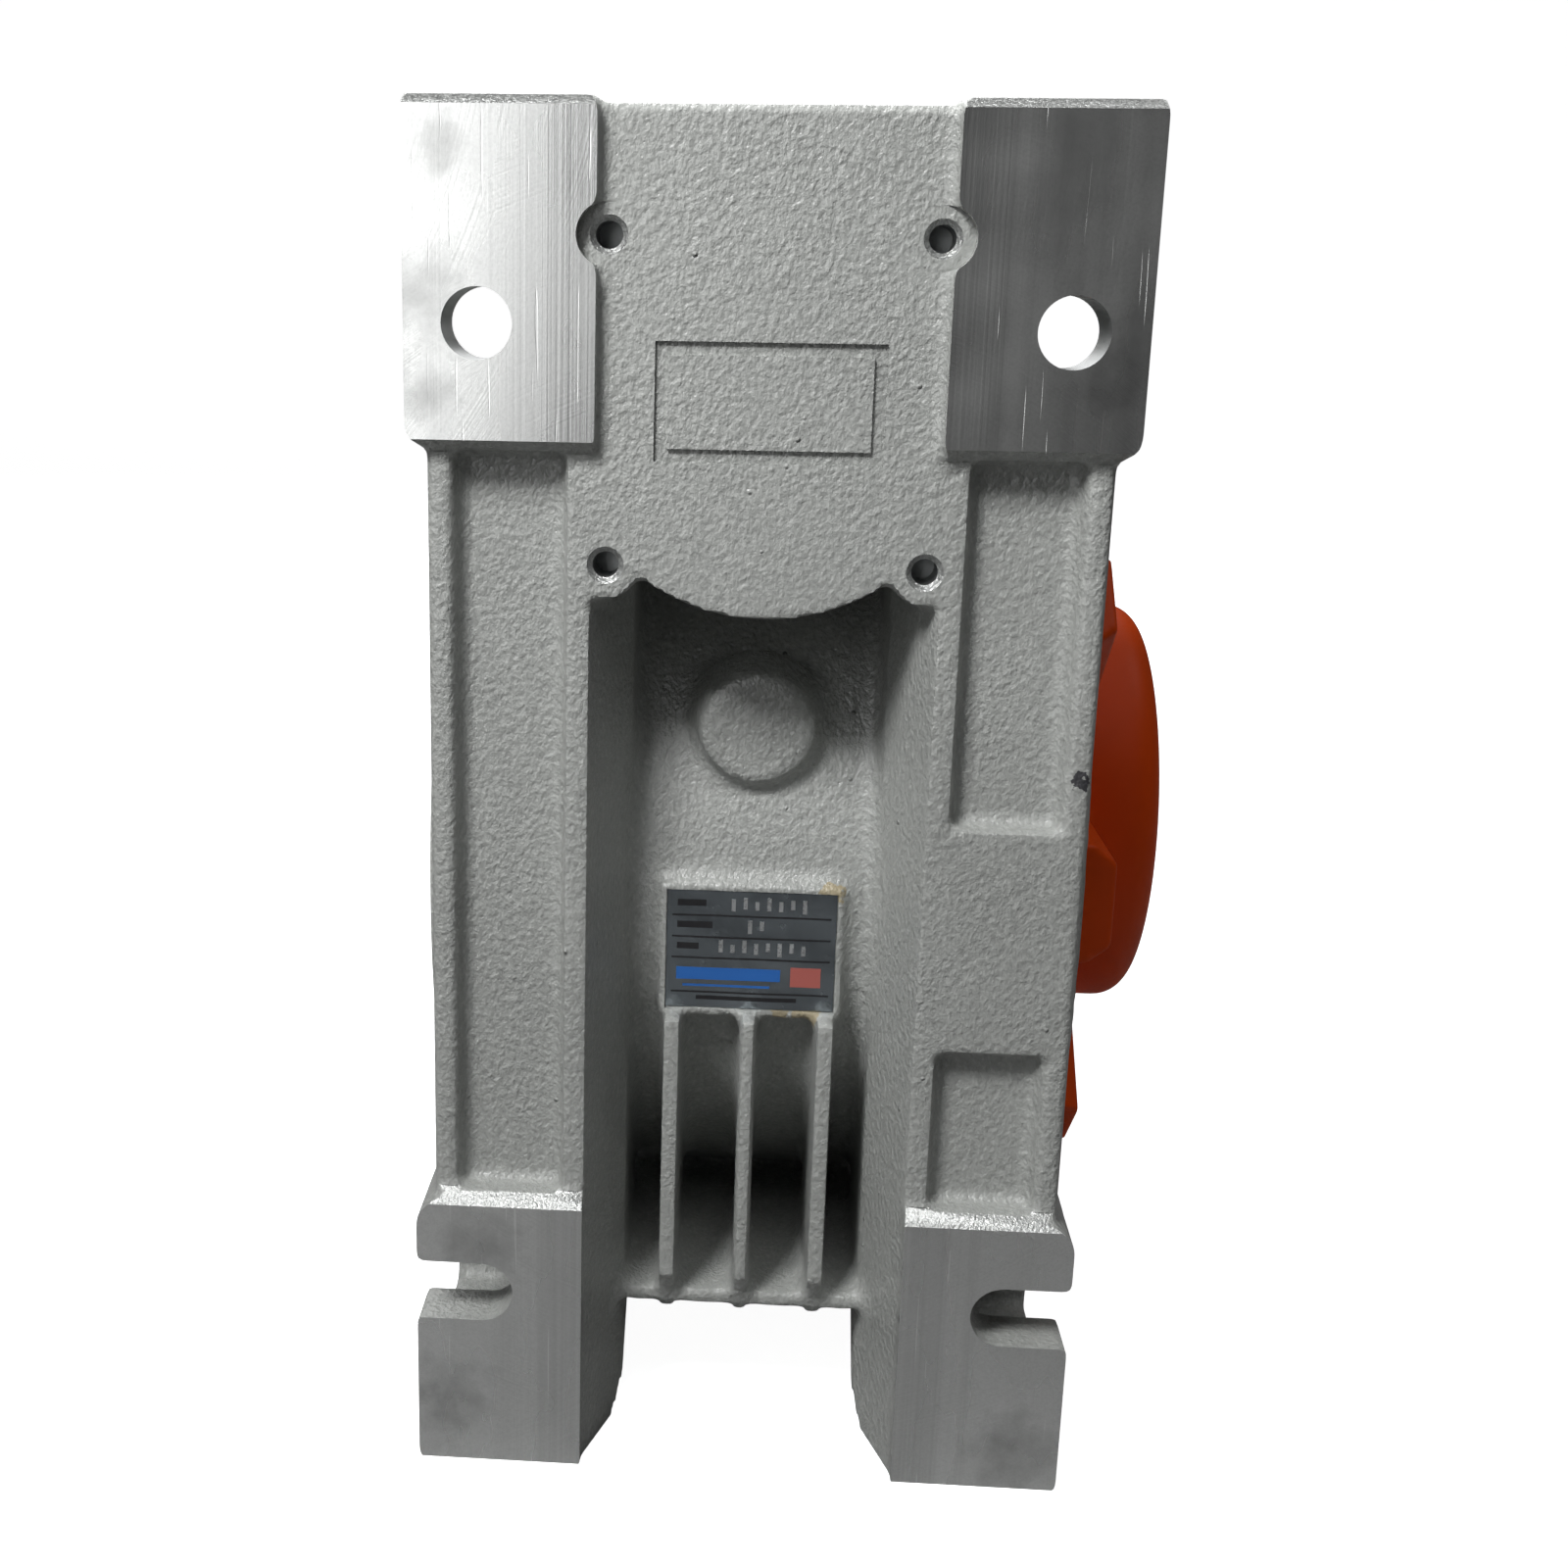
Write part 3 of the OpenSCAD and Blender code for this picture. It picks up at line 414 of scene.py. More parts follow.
PAINT = painted_casting("grey_paint", (0.37, 0.38, 0.365))
MILLED = milled("milled_alloy", (0.80, 0.81, 0.80))
BEVEL = rough_alloy("blasted_alloy", (0.50, 0.51, 0.50))
BORED_X = turned_metal("bored_alloy", (0.66, 0.67, 0.67), X, (0, 0, 0), 0.34)
BORED_Y = turned_metal("bored_alloy_worm", (0.66, 0.67, 0.67), Y, (0, 0, WORM_Z), 0.34)
DRILLED = metal("drilled_alloy", (0.30, 0.31, 0.31), 0.5)
GROUND = metal("ground_steel", (0.55, 0.56, 0.58), 0.24)
SHAFT = turned_metal("turned_steel", (0.50, 0.51, 0.53), X, (0, 0, 0), 0.28)
WORM = turned_metal("ground_worm", (0.50, 0.51, 0.54), Y, (0, 0, WORM_Z), 0.25)
BLACK = metal("black_steel", (0.055, 0.055, 0.06), 0.42)
BRASS = metal("brass", (0.75, 0.55, 0.25), 0.3)
COPPER = metal("copper", (0.75, 0.42, 0.28), 0.35)
BRONZE = turned_metal("bronze", (0.62, 0.42, 0.18), X, (0, 0, 0), 0.3)
ORANGE = plastic("orange_plastic", (0.80, 0.075, 0.0), 0.48, 0.5 * MM, 0.05 * MM, 0.2)
RUBBER = plastic("black_rubber", (0.02, 0.02, 0.022), 0.55)
GASKET = plastic("gasket_paper", (0.10, 0.16, 0.12), 0.7)
FOIL = metal("plate_foil", (0.34, 0.38, 0.41), 0.2, 3 * MM, 0.25 * MM)
INK = plastic("printed_ink", (0.012, 0.012, 0.014), 0.35)
# Stamped strokes: bare foil, made lighter also as a painted highlight on their raised edges
STAMPED_HIGHLIT_FOIL = metal("stamped_foil_painted_highlight", (0.85, 0.87, 0.88), 0.3, 1 * MM, 0.03 * MM)
BLUE_INK = plastic("blue_ink", (0.02, 0.13, 0.45), 0.35)
RED_INK = plastic("red_ink", (0.45, 0.12, 0.10), 0.4)

SLOT_MATERIAL = {
    "grey_paint": PAINT, "gasket_paper": GASKET, "black_steel": BLACK, "plate_silver": FOIL,
    "brass": BRASS, "copper_washer": COPPER, "seal_rubber": RUBBER, "bearing_steel": GROUND,
    "orange_plastic": ORANGE, "shaft_steel": SHAFT, "bronze": BRONZE,
}
SMALL_ROUNDS = {
    "side_cover_screws": 0.3 * MM, "input_flange_screws": 0.3 * MM, "output_cover_screws": 0.3 * MM,
    "breather_plug": 0.4 * MM, "level_plug": 0.4 * MM, "drain_plug": 0.4 * MM, "plug_washers": 0.2 * MM,
    "input_circlip": 0.2 * MM,
}
SLOT_OF = {part["node"]: part["material_slot"] for part in frame["record"]["subparts"]}


def dress_cad_nodes():
    """Gives every CAD node the material of its slot; the worm is turned round its own axis."""
    for name, node in NODES.items():
        node.data.materials.clear()
        node.data.materials.append(WORM if name == "worm_shaft" else SLOT_MATERIAL[SLOT_OF[name]])


def soften_cad_edges():
    """Small rounds on the edges of the turned and stamped parts that keep their CAD mesh."""
    for name, width in SMALL_ROUNDS.items():
        node = NODES[name]
        node.data.shade_smooth()
        node.data.set_sharp_from_angle(angle=math.radians(30))
        bevel = node.modifiers.new("edge_round", "BEVEL")
        bevel.width = width
        bevel.segments = 2
        bevel.limit_method = "ANGLE"
        bevel.angle_limit = math.radians(35)
        bevel.harden_normals = True


# ---- Mesh helpers ----

def link(mesh, name):
    piece = bpy.data.objects.new(name, mesh)
    bpy.context.collection.objects.link(piece)
    return piece


def turned(profile, axis=X, centre=(0, 0, 0), steps=96):
    """A closed body of revolution: profile holds [along, radius] points and starts and ends on the axis."""
    order = {X: (2, 1, 0), Y: (0, 2, 1), Z: (1, 0, 2)}[axis]
    vertices, rings, faces = [], [], []
    for along, radius in profile:
        first = len(vertices)
        count = steps if radius else 1
        for i in range(count):
            angle = 2 * math.pi * i / steps
            local = (radius * math.sin(angle), radius * math.cos(angle), along)
            vertices.append(Vector(centre) + Vector(local[k] for k in order))
        rings.append([first + i % count for i in range(steps)])
    for low, high in zip(rings, rings[1:]):
        for i in range(steps):
            j = (i + 1) % steps
            face = list(dict.fromkeys((low[i], low[j], high[j], high[i])))
            if len(face) > 2:
                faces.append(face)
    mesh = bpy.data.meshes.new("turned")
    mesh.from_pydata(vertices, [], faces)
    return mesh


def drill(radius, start, end, axis, centre, steps=48):
    """A closed cylinder between two levels of an axis."""
    return turned([(start, 0), (start, radius), (end, radius), (end, 0)], axis, centre, steps)


def block(lo, hi):
    """A closed box from its two corners."""
    corners = [Vector((x, y, z)) for x in (lo[0], hi[0]) for y in (lo[1], hi[1]) for z in (lo[2], hi[2])]
    faces = [(0, 1, 3, 2), (4, 6, 7, 5), (0, 4, 5, 1), (2, 3, 7, 6), (0, 2, 6, 4), (1, 5, 7, 3)]
    mesh = bpy.data.meshes.new("block")
    mesh.from_pydata(corners, [], faces)
    return mesh


def wedge(points, end):
    """A triangular bar across the casing; points hold its [y, z] corners, end is -1 or 1 along Y."""
    corners = [(x, -end * y, z) for x in (-80 * MM, 80 * MM) for y, z in points]
    faces = [(0, 1, 2), (3, 5, 4), (0, 3, 4, 1), (1, 4, 5, 2), (2, 5, 3, 0)]
    mesh = bpy.data.meshes.new("wedge")
    mesh.from_pydata(corners, [], faces)
    return mesh


def border(outer, inner, y0, y1):
    """A closed rectangular frame between two levels of Y; outer and inner hold x0, x1, z0, z1."""
    corners = []
    for y in (y0, y1):
        for x0, x1, z0, z1 in (outer, inner):
            corners += [(x0, y, z0), (x1, y, z0), (x1, y, z1), (x0, y, z1)]
    faces = []
    for i in range(4):
        j = (i + 1) % 4
        faces += [(i, j, 4 + j, 4 + i), (8 + i, 12 + i, 12 + j, 8 + j)]
        faces += [(i, 8 + i, 8 + j, j), (4 + i, 4 + j, 12 + j, 12 + i)]
    mesh = bpy.data.meshes.new("border")
    mesh.from_pydata(corners, [], faces)
    return mesh


def joined(meshes):
    """One bmesh that holds closed shells, each facing outwards."""
    work = bmesh.new()
    for mesh in meshes:
        work.from_mesh(mesh)
        bpy.data.meshes.remove(mesh)
    bmesh.ops.recalc_face_normals(work, faces=work.faces)
    return work


def applied(piece):
    """The piece's mesh with its modifiers made real."""
    graph = bpy.context.evaluated_depsgraph_get()
    mesh = bpy.data.meshes.new_from_object(piece.evaluated_get(graph))
    piece.modifiers.clear()
    piece.data = mesh
    return mesh


def cut(piece, groups):
    """Machines the piece. groups: closed shells that don't overlap, with the material that they leave."""
    tools = []
    for shells, material in groups:
        work = joined(shells)
        for face in work.faces:
            face.material_index = piece.data.materials.find(material.name)
        mesh = bpy.data.meshes.new("tool")
        work.to_mesh(mesh)
        work.free()
        for each in piece.data.materials:
            mesh.materials.append(each)
        tool = link(mesh, "tool")
        tools.append(tool)
        step = piece.modifiers.new("cut", "BOOLEAN")
        step.operation = "DIFFERENCE"
        step.solver = "MANIFOLD"
        step.material_mode = "INDEX"
        step.object = tool
    applied(piece)
    for tool in tools:
        bpy.data.objects.remove(tool)


def soften(mesh, rounds, hollow_rounds=0, where=None):
    """Rounds every edge a little, and inner corners more, as a poured casting has them."""
    count = len(mesh.vertices)
    place = np.empty(count * 3)
    mesh.vertices.foreach_get("co", place)
    place = place.reshape(-1, 3)
    ends = np.empty(len(mesh.edges) * 2, np.int32)
    mesh.edges.foreach_get("vertices", ends)
    a, b = ends.reshape(-1, 2).T
    degree = np.bincount(a, minlength=count) + np.bincount(b, minlength=count)

    def mean(values):
        columns = [
            np.bincount(a, values[b, k], count) + np.bincount(b, values[a, k], count)
            for k in range(values.shape[1])
        ]
        return np.stack(columns, 1) / degree[:, None]

    for _ in range(rounds):
        place += 0.5 * (mean(place) - place)
    mesh.vertices.foreach_set("co", place.ravel())
    mesh.update()
    if hollow_rounds:
        normal = np.empty(count * 3)
        mesh.vertex_normals.foreach_get("vector", normal)
        bend = ((mean(place) - place) * normal.reshape(-1, 3)).sum(1)
        hollow = np.clip(bend / (0.02 * MM), 0, 1) * where(place)
        for _ in range(3):
            hollow = np.maximum(hollow, 0.9 * mean(hollow[:, None])[:, 0])
        for _ in range(hollow_rounds):
            place += 0.5 * hollow[:, None] * (mean(place) - place)
        mesh.vertices.foreach_set("co", place.ravel())
        mesh.update()


def cast(node, name, stock, fillers, materials, rounds, hollow_rounds=0, where=None, voxel=VOXEL):
    """A rough casting of a CAD node: bores filled, metal left on machined faces, edges rounded.

    stock holds axis, level, shift and a test of place for each face that keeps metal.
    """
    work = bmesh.new()
    work.from_mesh(NODES[node].data)
    bmesh.ops.remove_doubles(work, verts=work.verts, dist=EPS / 10)
    for vertex in work.verts:
        for axis, level, shift, inside in stock:
            if abs(vertex.co[axis] - level) < EPS and inside(vertex.co):
                vertex.co[axis] += shift
                break
    for shell in fillers:
        work.from_mesh(shell)
        bpy.data.meshes.remove(shell)
    mesh = bpy.data.meshes.new(name)
    work.to_mesh(mesh)
    work.free()
    piece = link(mesh, name)
    skin = piece.modifiers.new("skin", "REMESH")
    skin.mode = "VOXEL"
    skin.voxel_size = voxel
    mesh = applied(piece)
    mesh.materials.clear()
    for material in materials:
        mesh.materials.append(material)
    soften(mesh, rounds, hollow_rounds, where)
    return piece


def finish_mesh(piece, node, angle=38):
    """Smooth shading with sharp machined edges; the piece stands for its CAD node."""
    piece.data.shade_smooth()
    piece.data.set_sharp_from_angle(angle=math.radians(angle))
    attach(piece, NODES[node]["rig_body"])
    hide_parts(node)


def around(count, radius, start=0.0):
    """Places round the output axis, as (y, z), the first towards -Y."""
    turn = [math.radians(start + 360 * i / count) for i in range(count)]
    return [(-radius * math.cos(a), -radius * math.sin(a)) for a in turn]


def round_worm(radius):
    """Four places round the worm axis, at 45 degrees to X and Z."""
    turn = [math.radians(45 + 90 * i) for i in range(4)]
    return [(radius * math.cos(a), 0, WORM_Z + radius * math.sin(a)) for a in turn]


FACE_TAPS = around(8, 82.5 * MM)
COVER_SCREWS = around(8, 98 * MM, 22.5)
WORM_AXIS = (0, 0, WORM_Z)


def everywhere(_):
    """A test that is true for every point."""
    return True


def within(radius):
    """A test that is true for points nearer to the output axis than radius."""
    return lambda p: math.hypot(p.y, p.z) < radius + EPS


# ---- Housing ----

def oil_holes(radius, past):
    """Breather, drain and level holes."""
    return [
        drill(radius, 130 * MM, WORM_Z + BARREL_R + 5 * MM + past, Z, (0, BREATHER_Y, 0)),
        drill(radius, -105 * MM - past, -80 * MM, Z, (0, 0, 0)),
        drill(radius, 70 * MM, 100 * MM + past, Y, (0, 0, LEVEL_Z)),
    ]


def pad_holes(radius, past):
    """The four through holes of the upper pads."""
    holes = []
    for end in (-1, 1):
        back, front = sorted((end * (PLATE_Y - past[0]), end * (PAD_Y + past[1])))
        holes += [drill(radius, back, front, Y, (x, 0, PAD_HOLE_Z)) for x in (-FOOT_X, FOOT_X)]
    return holes


def mark_frame(grow):
    """The middle line of the panel's plain groove as x0, x1, z0, z1, moved outwards by an amount."""
    x, z = MARK_HALF_X + grow, MARK_HALF_Z + grow
    return -x, x, MARK_Z - z, MARK_Z + z


def housing_fillers():
    """Solid plugs that close every bore and hole of the casing before it is cast."""
    seat, spigot = -SEAT_X - STOCK, SPIGOT_X + STOCK
    chamber_end, neck_r = POCKET_X - 0.5 * MM, BEARING_R + 0.5 * MM
    x0, x1, z0, z1 = mark_frame(2 * GROOVE_HALF)
    fillers = [
        turned([
            (seat, 0), (seat, CAVITY_R + GROW), (chamber_end, CAVITY_R + GROW), (chamber_end, neck_r),
            (spigot, neck_r), (spigot, 0),
        ]),
        drill(SPIGOT_R + STOCK, OUTPUT_X, spigot, X, (0, 0, 0), 96),
        drill(FRONT_SEAT_R + 1.5 * MM, REAR_END_Y - 0.5 * MM, PAD_Y + STOCK, Y, WORM_AXIS, 96),
        drill(CIRCLIP_R + 1 * MM, CIRCLIP_Y - 4 * MM, CIRCLIP_Y + 6 * MM, Y, WORM_AXIS, 96),
    ]
    fillers += oil_holes(PLUG_R + GROW, 0)
    fillers.append(block((x0, -PANEL_Y, z0), (x1, -PANEL_Y + 2 * MM, z1)))
    fillers += [drill(3.9 * MM, -PANEL_Y, -PANEL_Y + 11 * MM, Y, (x, 0, z)) for x, z in PANEL_TAPS]
    fillers += [drill(HOLE_R + GROW, BASE_Z - STOCK, BASE_Z + 14 * MM, Z, (x, y, 0)) for x, y in BASE_BOLTS]
    fillers += [drill(5.7 * MM, OUTPUT_X - 19 * MM, OUTPUT_X + STOCK, X, (0, y, z)) for y, z in FACE_TAPS]
    fillers += [drill(3.2 * MM, seat, -SEAT_X + 15 * MM, X, (0, y, z)) for y, z in COVER_SCREWS]
    return fillers + pad_holes(HOLE_R + GROW, (0, STOCK))


def output_faces():
    """Cutters for the two turned faces: the output face with its spigot, and the side cover's seat."""
    rim, clear = FLANGE_R + 0.5 * MM, SPIGOT_X + 6 * MM
    return [
        turned([
            (SPIGOT_X, 0), (SPIGOT_X, SPIGOT_R - 0.5 * MM), (SPIGOT_X - 0.5 * MM, SPIGOT_R),
            (OUTPUT_X, SPIGOT_R), (OUTPUT_X, rim), (clear, rim), (clear, 0),
        ], steps=128),
        drill(FLANGE_R + 0.3 * MM, -75 * MM, -SEAT_X, X, (0, 0, 0), 128),
    ]


def wheel_chamber():
    """The space round the wheel, the bearing seat in its boss, and the bevelled seal bore."""
    return turned([
        (-60 * MM, 0), (-60 * MM, CAVITY_R), (CAVITY_X, CAVITY_R), (CAVITY_X, POCKET_R), (POCKET_X, POCKET_R),
        (POCKET_X, BOSS_R), (BOSS_X, BOSS_R), (BOSS_X, BEARING_R), (BEARING_X, BEARING_R),
        (BEARING_X, SEAL_R), (SPIGOT_X - 1 * MM, SEAL_R), (SPIGOT_X + 3 * MM, SEAL_R + 4 * MM),
        (SPIGOT_X + 3 * MM, 0),
    ], steps=128)


def worm_tunnel():
    """The blind tunnel of the worm: two bearing seats, the circlip's groove and a bevelled mouth."""
    circlip_end = CIRCLIP_Y + CIRCLIP_WIDE
    return turned([
        (REAR_END_Y, 0), (REAR_END_Y, REAR_SEAT_R), (REAR_SEAT_Y, REAR_SEAT_R), (REAR_SEAT_Y, TUNNEL_R),
        (FRONT_SEAT_Y, TUNNEL_R), (FRONT_SEAT_Y, FRONT_SEAT_R), (CIRCLIP_Y, FRONT_SEAT_R),
        (CIRCLIP_Y, CIRCLIP_R), (circlip_end, CIRCLIP_R), (circlip_end, FRONT_SEAT_R),
        (PAD_Y - 1 * MM, FRONT_SEAT_R), (PAD_Y + 1 * MM, FRONT_SEAT_R + 2 * MM), (PAD_Y + 1 * MM, 0),
    ], Y, WORM_AXIS, 128)


def bolt_holes():
    """Tapped and plain holes at their drilled sizes."""
    panel_r, screw_r = 2.65 * MM, 3.4 * MM
    holes = [drill(panel_r, -PANEL_Y - PAST, -PANEL_Y + 10 * MM, Y, (x, 0, z)) for x, z in PANEL_TAPS]
    holes += [drill(HOLE_R, BASE_Z - PAST, BASE_Z + 15 * MM, Z, (x, y, 0)) for x, y in BASE_BOLTS]
    holes += [drill(FACE_TAP_R, OUTPUT_X - 18 * MM, OUTPUT_X + PAST, X, (0, y, z)) for y, z in FACE_TAPS]
    holes += [drill(COVER_TAP_R, -SEAT_X - PAST, -SEAT_X + 14 * MM, X, (0, y, z)) for y, z in COVER_SCREWS]
    holes += [
        drill(screw_r, PAD_Y - 18 * MM, PAD_Y + PAST, Y, place) for place in round_worm(INNER_SCREWS_R)
    ]
    return holes + pad_holes(HOLE_R, (PAST, PAST))


def tap_mouths():
    """Countersinks of the four taps in the end panel."""
    start, end = -PANEL_Y - PAST, -PANEL_Y + 1.2 * MM
    mouth_r, core_r = 4.7 * MM, 2.65 * MM
    profile = [(start, 0), (start, mouth_r), (end, core_r), (end, 0)]
    return [turned(profile, Y, (x, 0, z), 40) for x, z in PANEL_TAPS]


def pad_bevels():
    """Wedges along the pads' edges: blasted at the top and over the feet, painted below the pads."""
    front = -PAD_Y - 3 * MM
    top, reach = TOP_Z + 1 * MM, 5 * MM
    foot_low, foot_high = FOOT_TOP - 3.5 * MM, FOOT_TOP + 3.5 * MM
    pad_low = PAD_Z - 0.5 * MM
    bright, painted = [], []
    for end in (-1, 1):
        bright.append(wedge([(front, TOP_Z - reach), (front, top), (front + 6 * MM, top)], end))
        bright.append(wedge([(front, foot_low), (-PANEL_Y, foot_high), (front, foot_high)], end))
        painted.append(wedge([(front, PAD_Z + reach), (front, pad_low), (front + 5.5 * MM, pad_low)], end))
    return bright, painted


def panel_recesses():
    """The plain groove on the end panel and the nameplate's flat."""
    gap = 0.2 * MM
    outer, inner = mark_frame(GROOVE_HALF), mark_frame(-GROOVE_HALF)
    return [
        border(outer, inner, -PANEL_Y - PAST, -PANEL_Y + GROOVE_DEEP),
        block(
            (PLATE_LO.x - gap, PLATE_LO.y - 9 * MM, PLATE_LO.z - gap),
            (PLATE_HI.x + gap, PLATE_HI.y, PLATE_HI.z + gap),
        ),
    ]


def make_housing():
    """The main casting, machined. Its end channels and sides have the larger inner roundings."""
    channel_half, side_half = 31 * MM, 108 * MM
    stock = [
        (Y, -PAD_Y, -STOCK, everywhere), (Y, PAD_Y, STOCK, everywhere),
        (Z, BASE_Z, -STOCK, everywhere), (X, -SEAT_X, -STOCK, within(FLANGE_R + PAST)),
        (X, OUTPUT_X, STOCK, within(FLANGE_R + EPS)), (X, SPIGOT_X, STOCK, everywhere),
    ]
    piece = cast(
        "housing", "cast_housing", stock, housing_fillers(),
        [PAINT, MILLED, BORED_X, BORED_Y, DRILLED, BEVEL], rounds=2, hollow_rounds=20,
        where=lambda p: (np.abs(p[:, 0]) < channel_half) | (np.abs(p[:, 1]) < side_half),
    )
    wide, tall = 100 * MM, 200 * MM
    mills = [
        block((-wide, -PAD_Y - 9 * MM, -tall), (wide, -PAD_Y, tall)),
        block((-wide, PAD_Y, -tall), (wide, PAD_Y + 9 * MM, tall)),
    ]
    base = [block((-wide, -PAD_Y - 10 * MM, BASE_Z - 9 * MM), (wide, PAD_Y + 10 * MM, BASE_Z))]
    notches = [
        drill(TAP_BOSS_R, -PAD_Y - PAST, -PANEL_Y, Y, (x, 0, z), 64) for x, z in PANEL_TAPS if z > WORM_Z
    ]
    bright, painted = pad_bevels()
    cut(piece, [
        (mills, MILLED), (bright, BEVEL), (painted, PAINT), (base, MILLED), (output_faces(), BORED_X),
        (notches, PAINT), (panel_recesses(), PAINT), ([wheel_chamber()], BORED_X), ([worm_tunnel()], BORED_Y),
        (tap_mouths(), BEVEL), (bolt_holes(), DRILLED), (oil_holes(PLUG_R, PAST), DRILLED),
    ])
    finish_mesh(piece, "housing")


# ---- Covers ----

def make_side_cover():
    """The cast cover on the -X side, with the second spigot, bearing seat and screw wells."""
    outside = -SPIGOT_X - STOCK
    fillers = [drill(BEARING_R + GROW, outside, -40.5 * MM, X, (0, 0, 0), 96)]
    fillers += [drill(5 * MM, -OUTPUT_X - STOCK, -53 * MM, X, (0, y, z)) for y, z in FACE_TAPS]
    fillers += [drill(6.2 * MM, -OUTPUT_X - STOCK, -SEAT_X - 0.6 * MM, X, (0, y, z)) for y, z in COVER_SCREWS]
    stock = [(X, -OUTPUT_X, -STOCK, within(FLANGE_R)), (X, -SPIGOT_X, -STOCK, everywhere)]
    piece = cast(
        "side_cover", "cast_side_cover", stock, fillers, [PAINT, BORED_X, DRILLED], rounds=3, voxel=1.2 * MM
    )
    rim, clear = FLANGE_R + 3 * MM, -SPIGOT_X - 6 * MM
    face = [turned([
        (-SPIGOT_X, 0), (-SPIGOT_X, SPIGOT_R - 0.5 * MM), (-SPIGOT_X + 0.5 * MM, SPIGOT_R),
        (-OUTPUT_X, SPIGOT_R), (-OUTPUT_X, rim), (clear, rim), (clear, 0),
    ], steps=128)]
    bore = [turned([
        (-80 * MM, 0), (-80 * MM, SEAL_R + 6 * MM), (-SPIGOT_X, SEAL_R + 1.5 * MM),
        (-SPIGOT_X + 1.5 * MM, SEAL_R), (-BEARING_X, SEAL_R), (-BEARING_X, BEARING_R), (-38 * MM, BEARING_R),
        (-38 * MM, 0),
    ], steps=128)]
    holes = [drill(FACE_TAP_R, -OUTPUT_X - PAST, -54 * MM, X, (0, y, z)) for y, z in FACE_TAPS]
    head_r, head_x, screw_r, screw_x = 5.5 * MM, -65.5 * MM, 3.3 * MM, -SEAT_X + 2 * MM
    holes += [turned([
        (-OUTPUT_X - PAST, 0), (-OUTPUT_X - PAST, head_r), (head_x, head_r), (head_x, screw_r),
        (screw_x, screw_r), (screw_x, 0),
    ], X, (0, y, z), 40) for y, z in COVER_SCREWS]
    cut(piece, [(face, BORED_X), (bore, BORED_X), (holes, DRILLED)])
    finish_mesh(piece, "side_cover")


def make_input_flange():
    """The cast motor flange, with its pilot, screw holes and bolt holes."""
    back, front = FLANGE_LO.y, FLANGE_HI.y
    floor, pilot_end = back + 10 * MM, front - PILOT_DEEP
    mouth_r, well_r = 30 * MM, PILOT_R - 1 * MM
    fillers = [drill(PILOT_R + GROW, back, front + STOCK, Y, WORM_AXIS, 96)]
    fillers += [
        drill(5.3 * MM, back + 8 * MM, front + STOCK, Y, place) for place in round_worm(MOTOR_BOLTS_R)
    ]
    piece = cast(
        "input_flange", "cast_input_flange", [(Y, front, STOCK, everywhere)], fillers,
        [PAINT, BORED_Y, DRILLED], rounds=4, voxel=1.2 * MM,
    )
    face = [block((-100 * MM, front, -100 * MM), (100 * MM, front + 9 * MM, 300 * MM))]
    bore = [turned([
        (back - PAST, 0), (back - PAST, mouth_r), (floor, mouth_r), (floor, well_r), (pilot_end, well_r),
        (pilot_end, PILOT_R), (front - 1 * MM, PILOT_R), (front + 1 * MM, PILOT_R + 2 * MM),
        (front + 1 * MM, 0),
    ], Y, WORM_AXIS, 128)]
    holes = [drill(4.4 * MM, back - PAST, back + 11 * MM, Y, place) for place in round_worm(INNER_SCREWS_R)]
    holes += [drill(4.5 * MM, back + 8 * MM, front + PAST, Y, place) for place in round_worm(MOTOR_BOLTS_R)]
    cut(piece, [(face, BORED_Y), (bore, BORED_Y), (holes, DRILLED)])
    finish_mesh(piece, "input_flange")


def make_output_cover():
    """The moulded cover, with soft edges all round."""
    piece = cast("output_cover", "moulded_cover", [], [], [ORANGE], rounds=4, voxel=0.8 * MM)
    finish_mesh(piece, "output_cover", 60)


# ---- Nameplate ----

def plate_wave(x, z):
    """Height of the foil's slight waves over the plate's back."""
    return 0.10 * MM * (math.sin(x * 310 + 1) * math.cos(z * 270) + 0.6 * math.sin(z * 520 + x * 160))


def leaf(x0, x1, z0, z1, low, high, step=1.2 * MM):
    """A thin closed leaf between two heights over the plate; a height over zero follows the waves."""
    columns = max(1, round((x1 - x0) / step))
    rows = max(1, round((z1 - z0) / step))
    y = PLATE_LO.y + 0.3 * MM
    vertices = []
    for height in (low, high):
        for j in range(rows + 1):
            for i in range(columns + 1):
                px, pz = x0 + (x1 - x0) * i / columns, z0 + (z1 - z0) * j / rows
                wave = plate_wave(px, pz) if height > 0 else 0
                vertices.append((px, y - height - wave, pz))

    def at(i, j, k):
        return (k * (rows + 1) + j) * (columns + 1) + i

    faces = []
    for k in (0, 1):
        faces += [
            (at(i, j, k), at(i + 1, j, k), at(i + 1, j + 1, k), at(i, j + 1, k))
            for j in range(rows) for i in range(columns)
        ]
    for i in range(columns):
        faces += [(at(i, j, 0), at(i + 1, j, 0), at(i + 1, j, 1), at(i, j, 1)) for j in (0, rows)]
    for j in range(rows):
        faces += [(at(i, j, 0), at(i, j + 1, 0), at(i, j + 1, 1), at(i, j, 1)) for i in (0, columns)]
    mesh = bpy.data.meshes.new("leaf")
    mesh.from_pydata(vertices, [], faces)
    return mesh


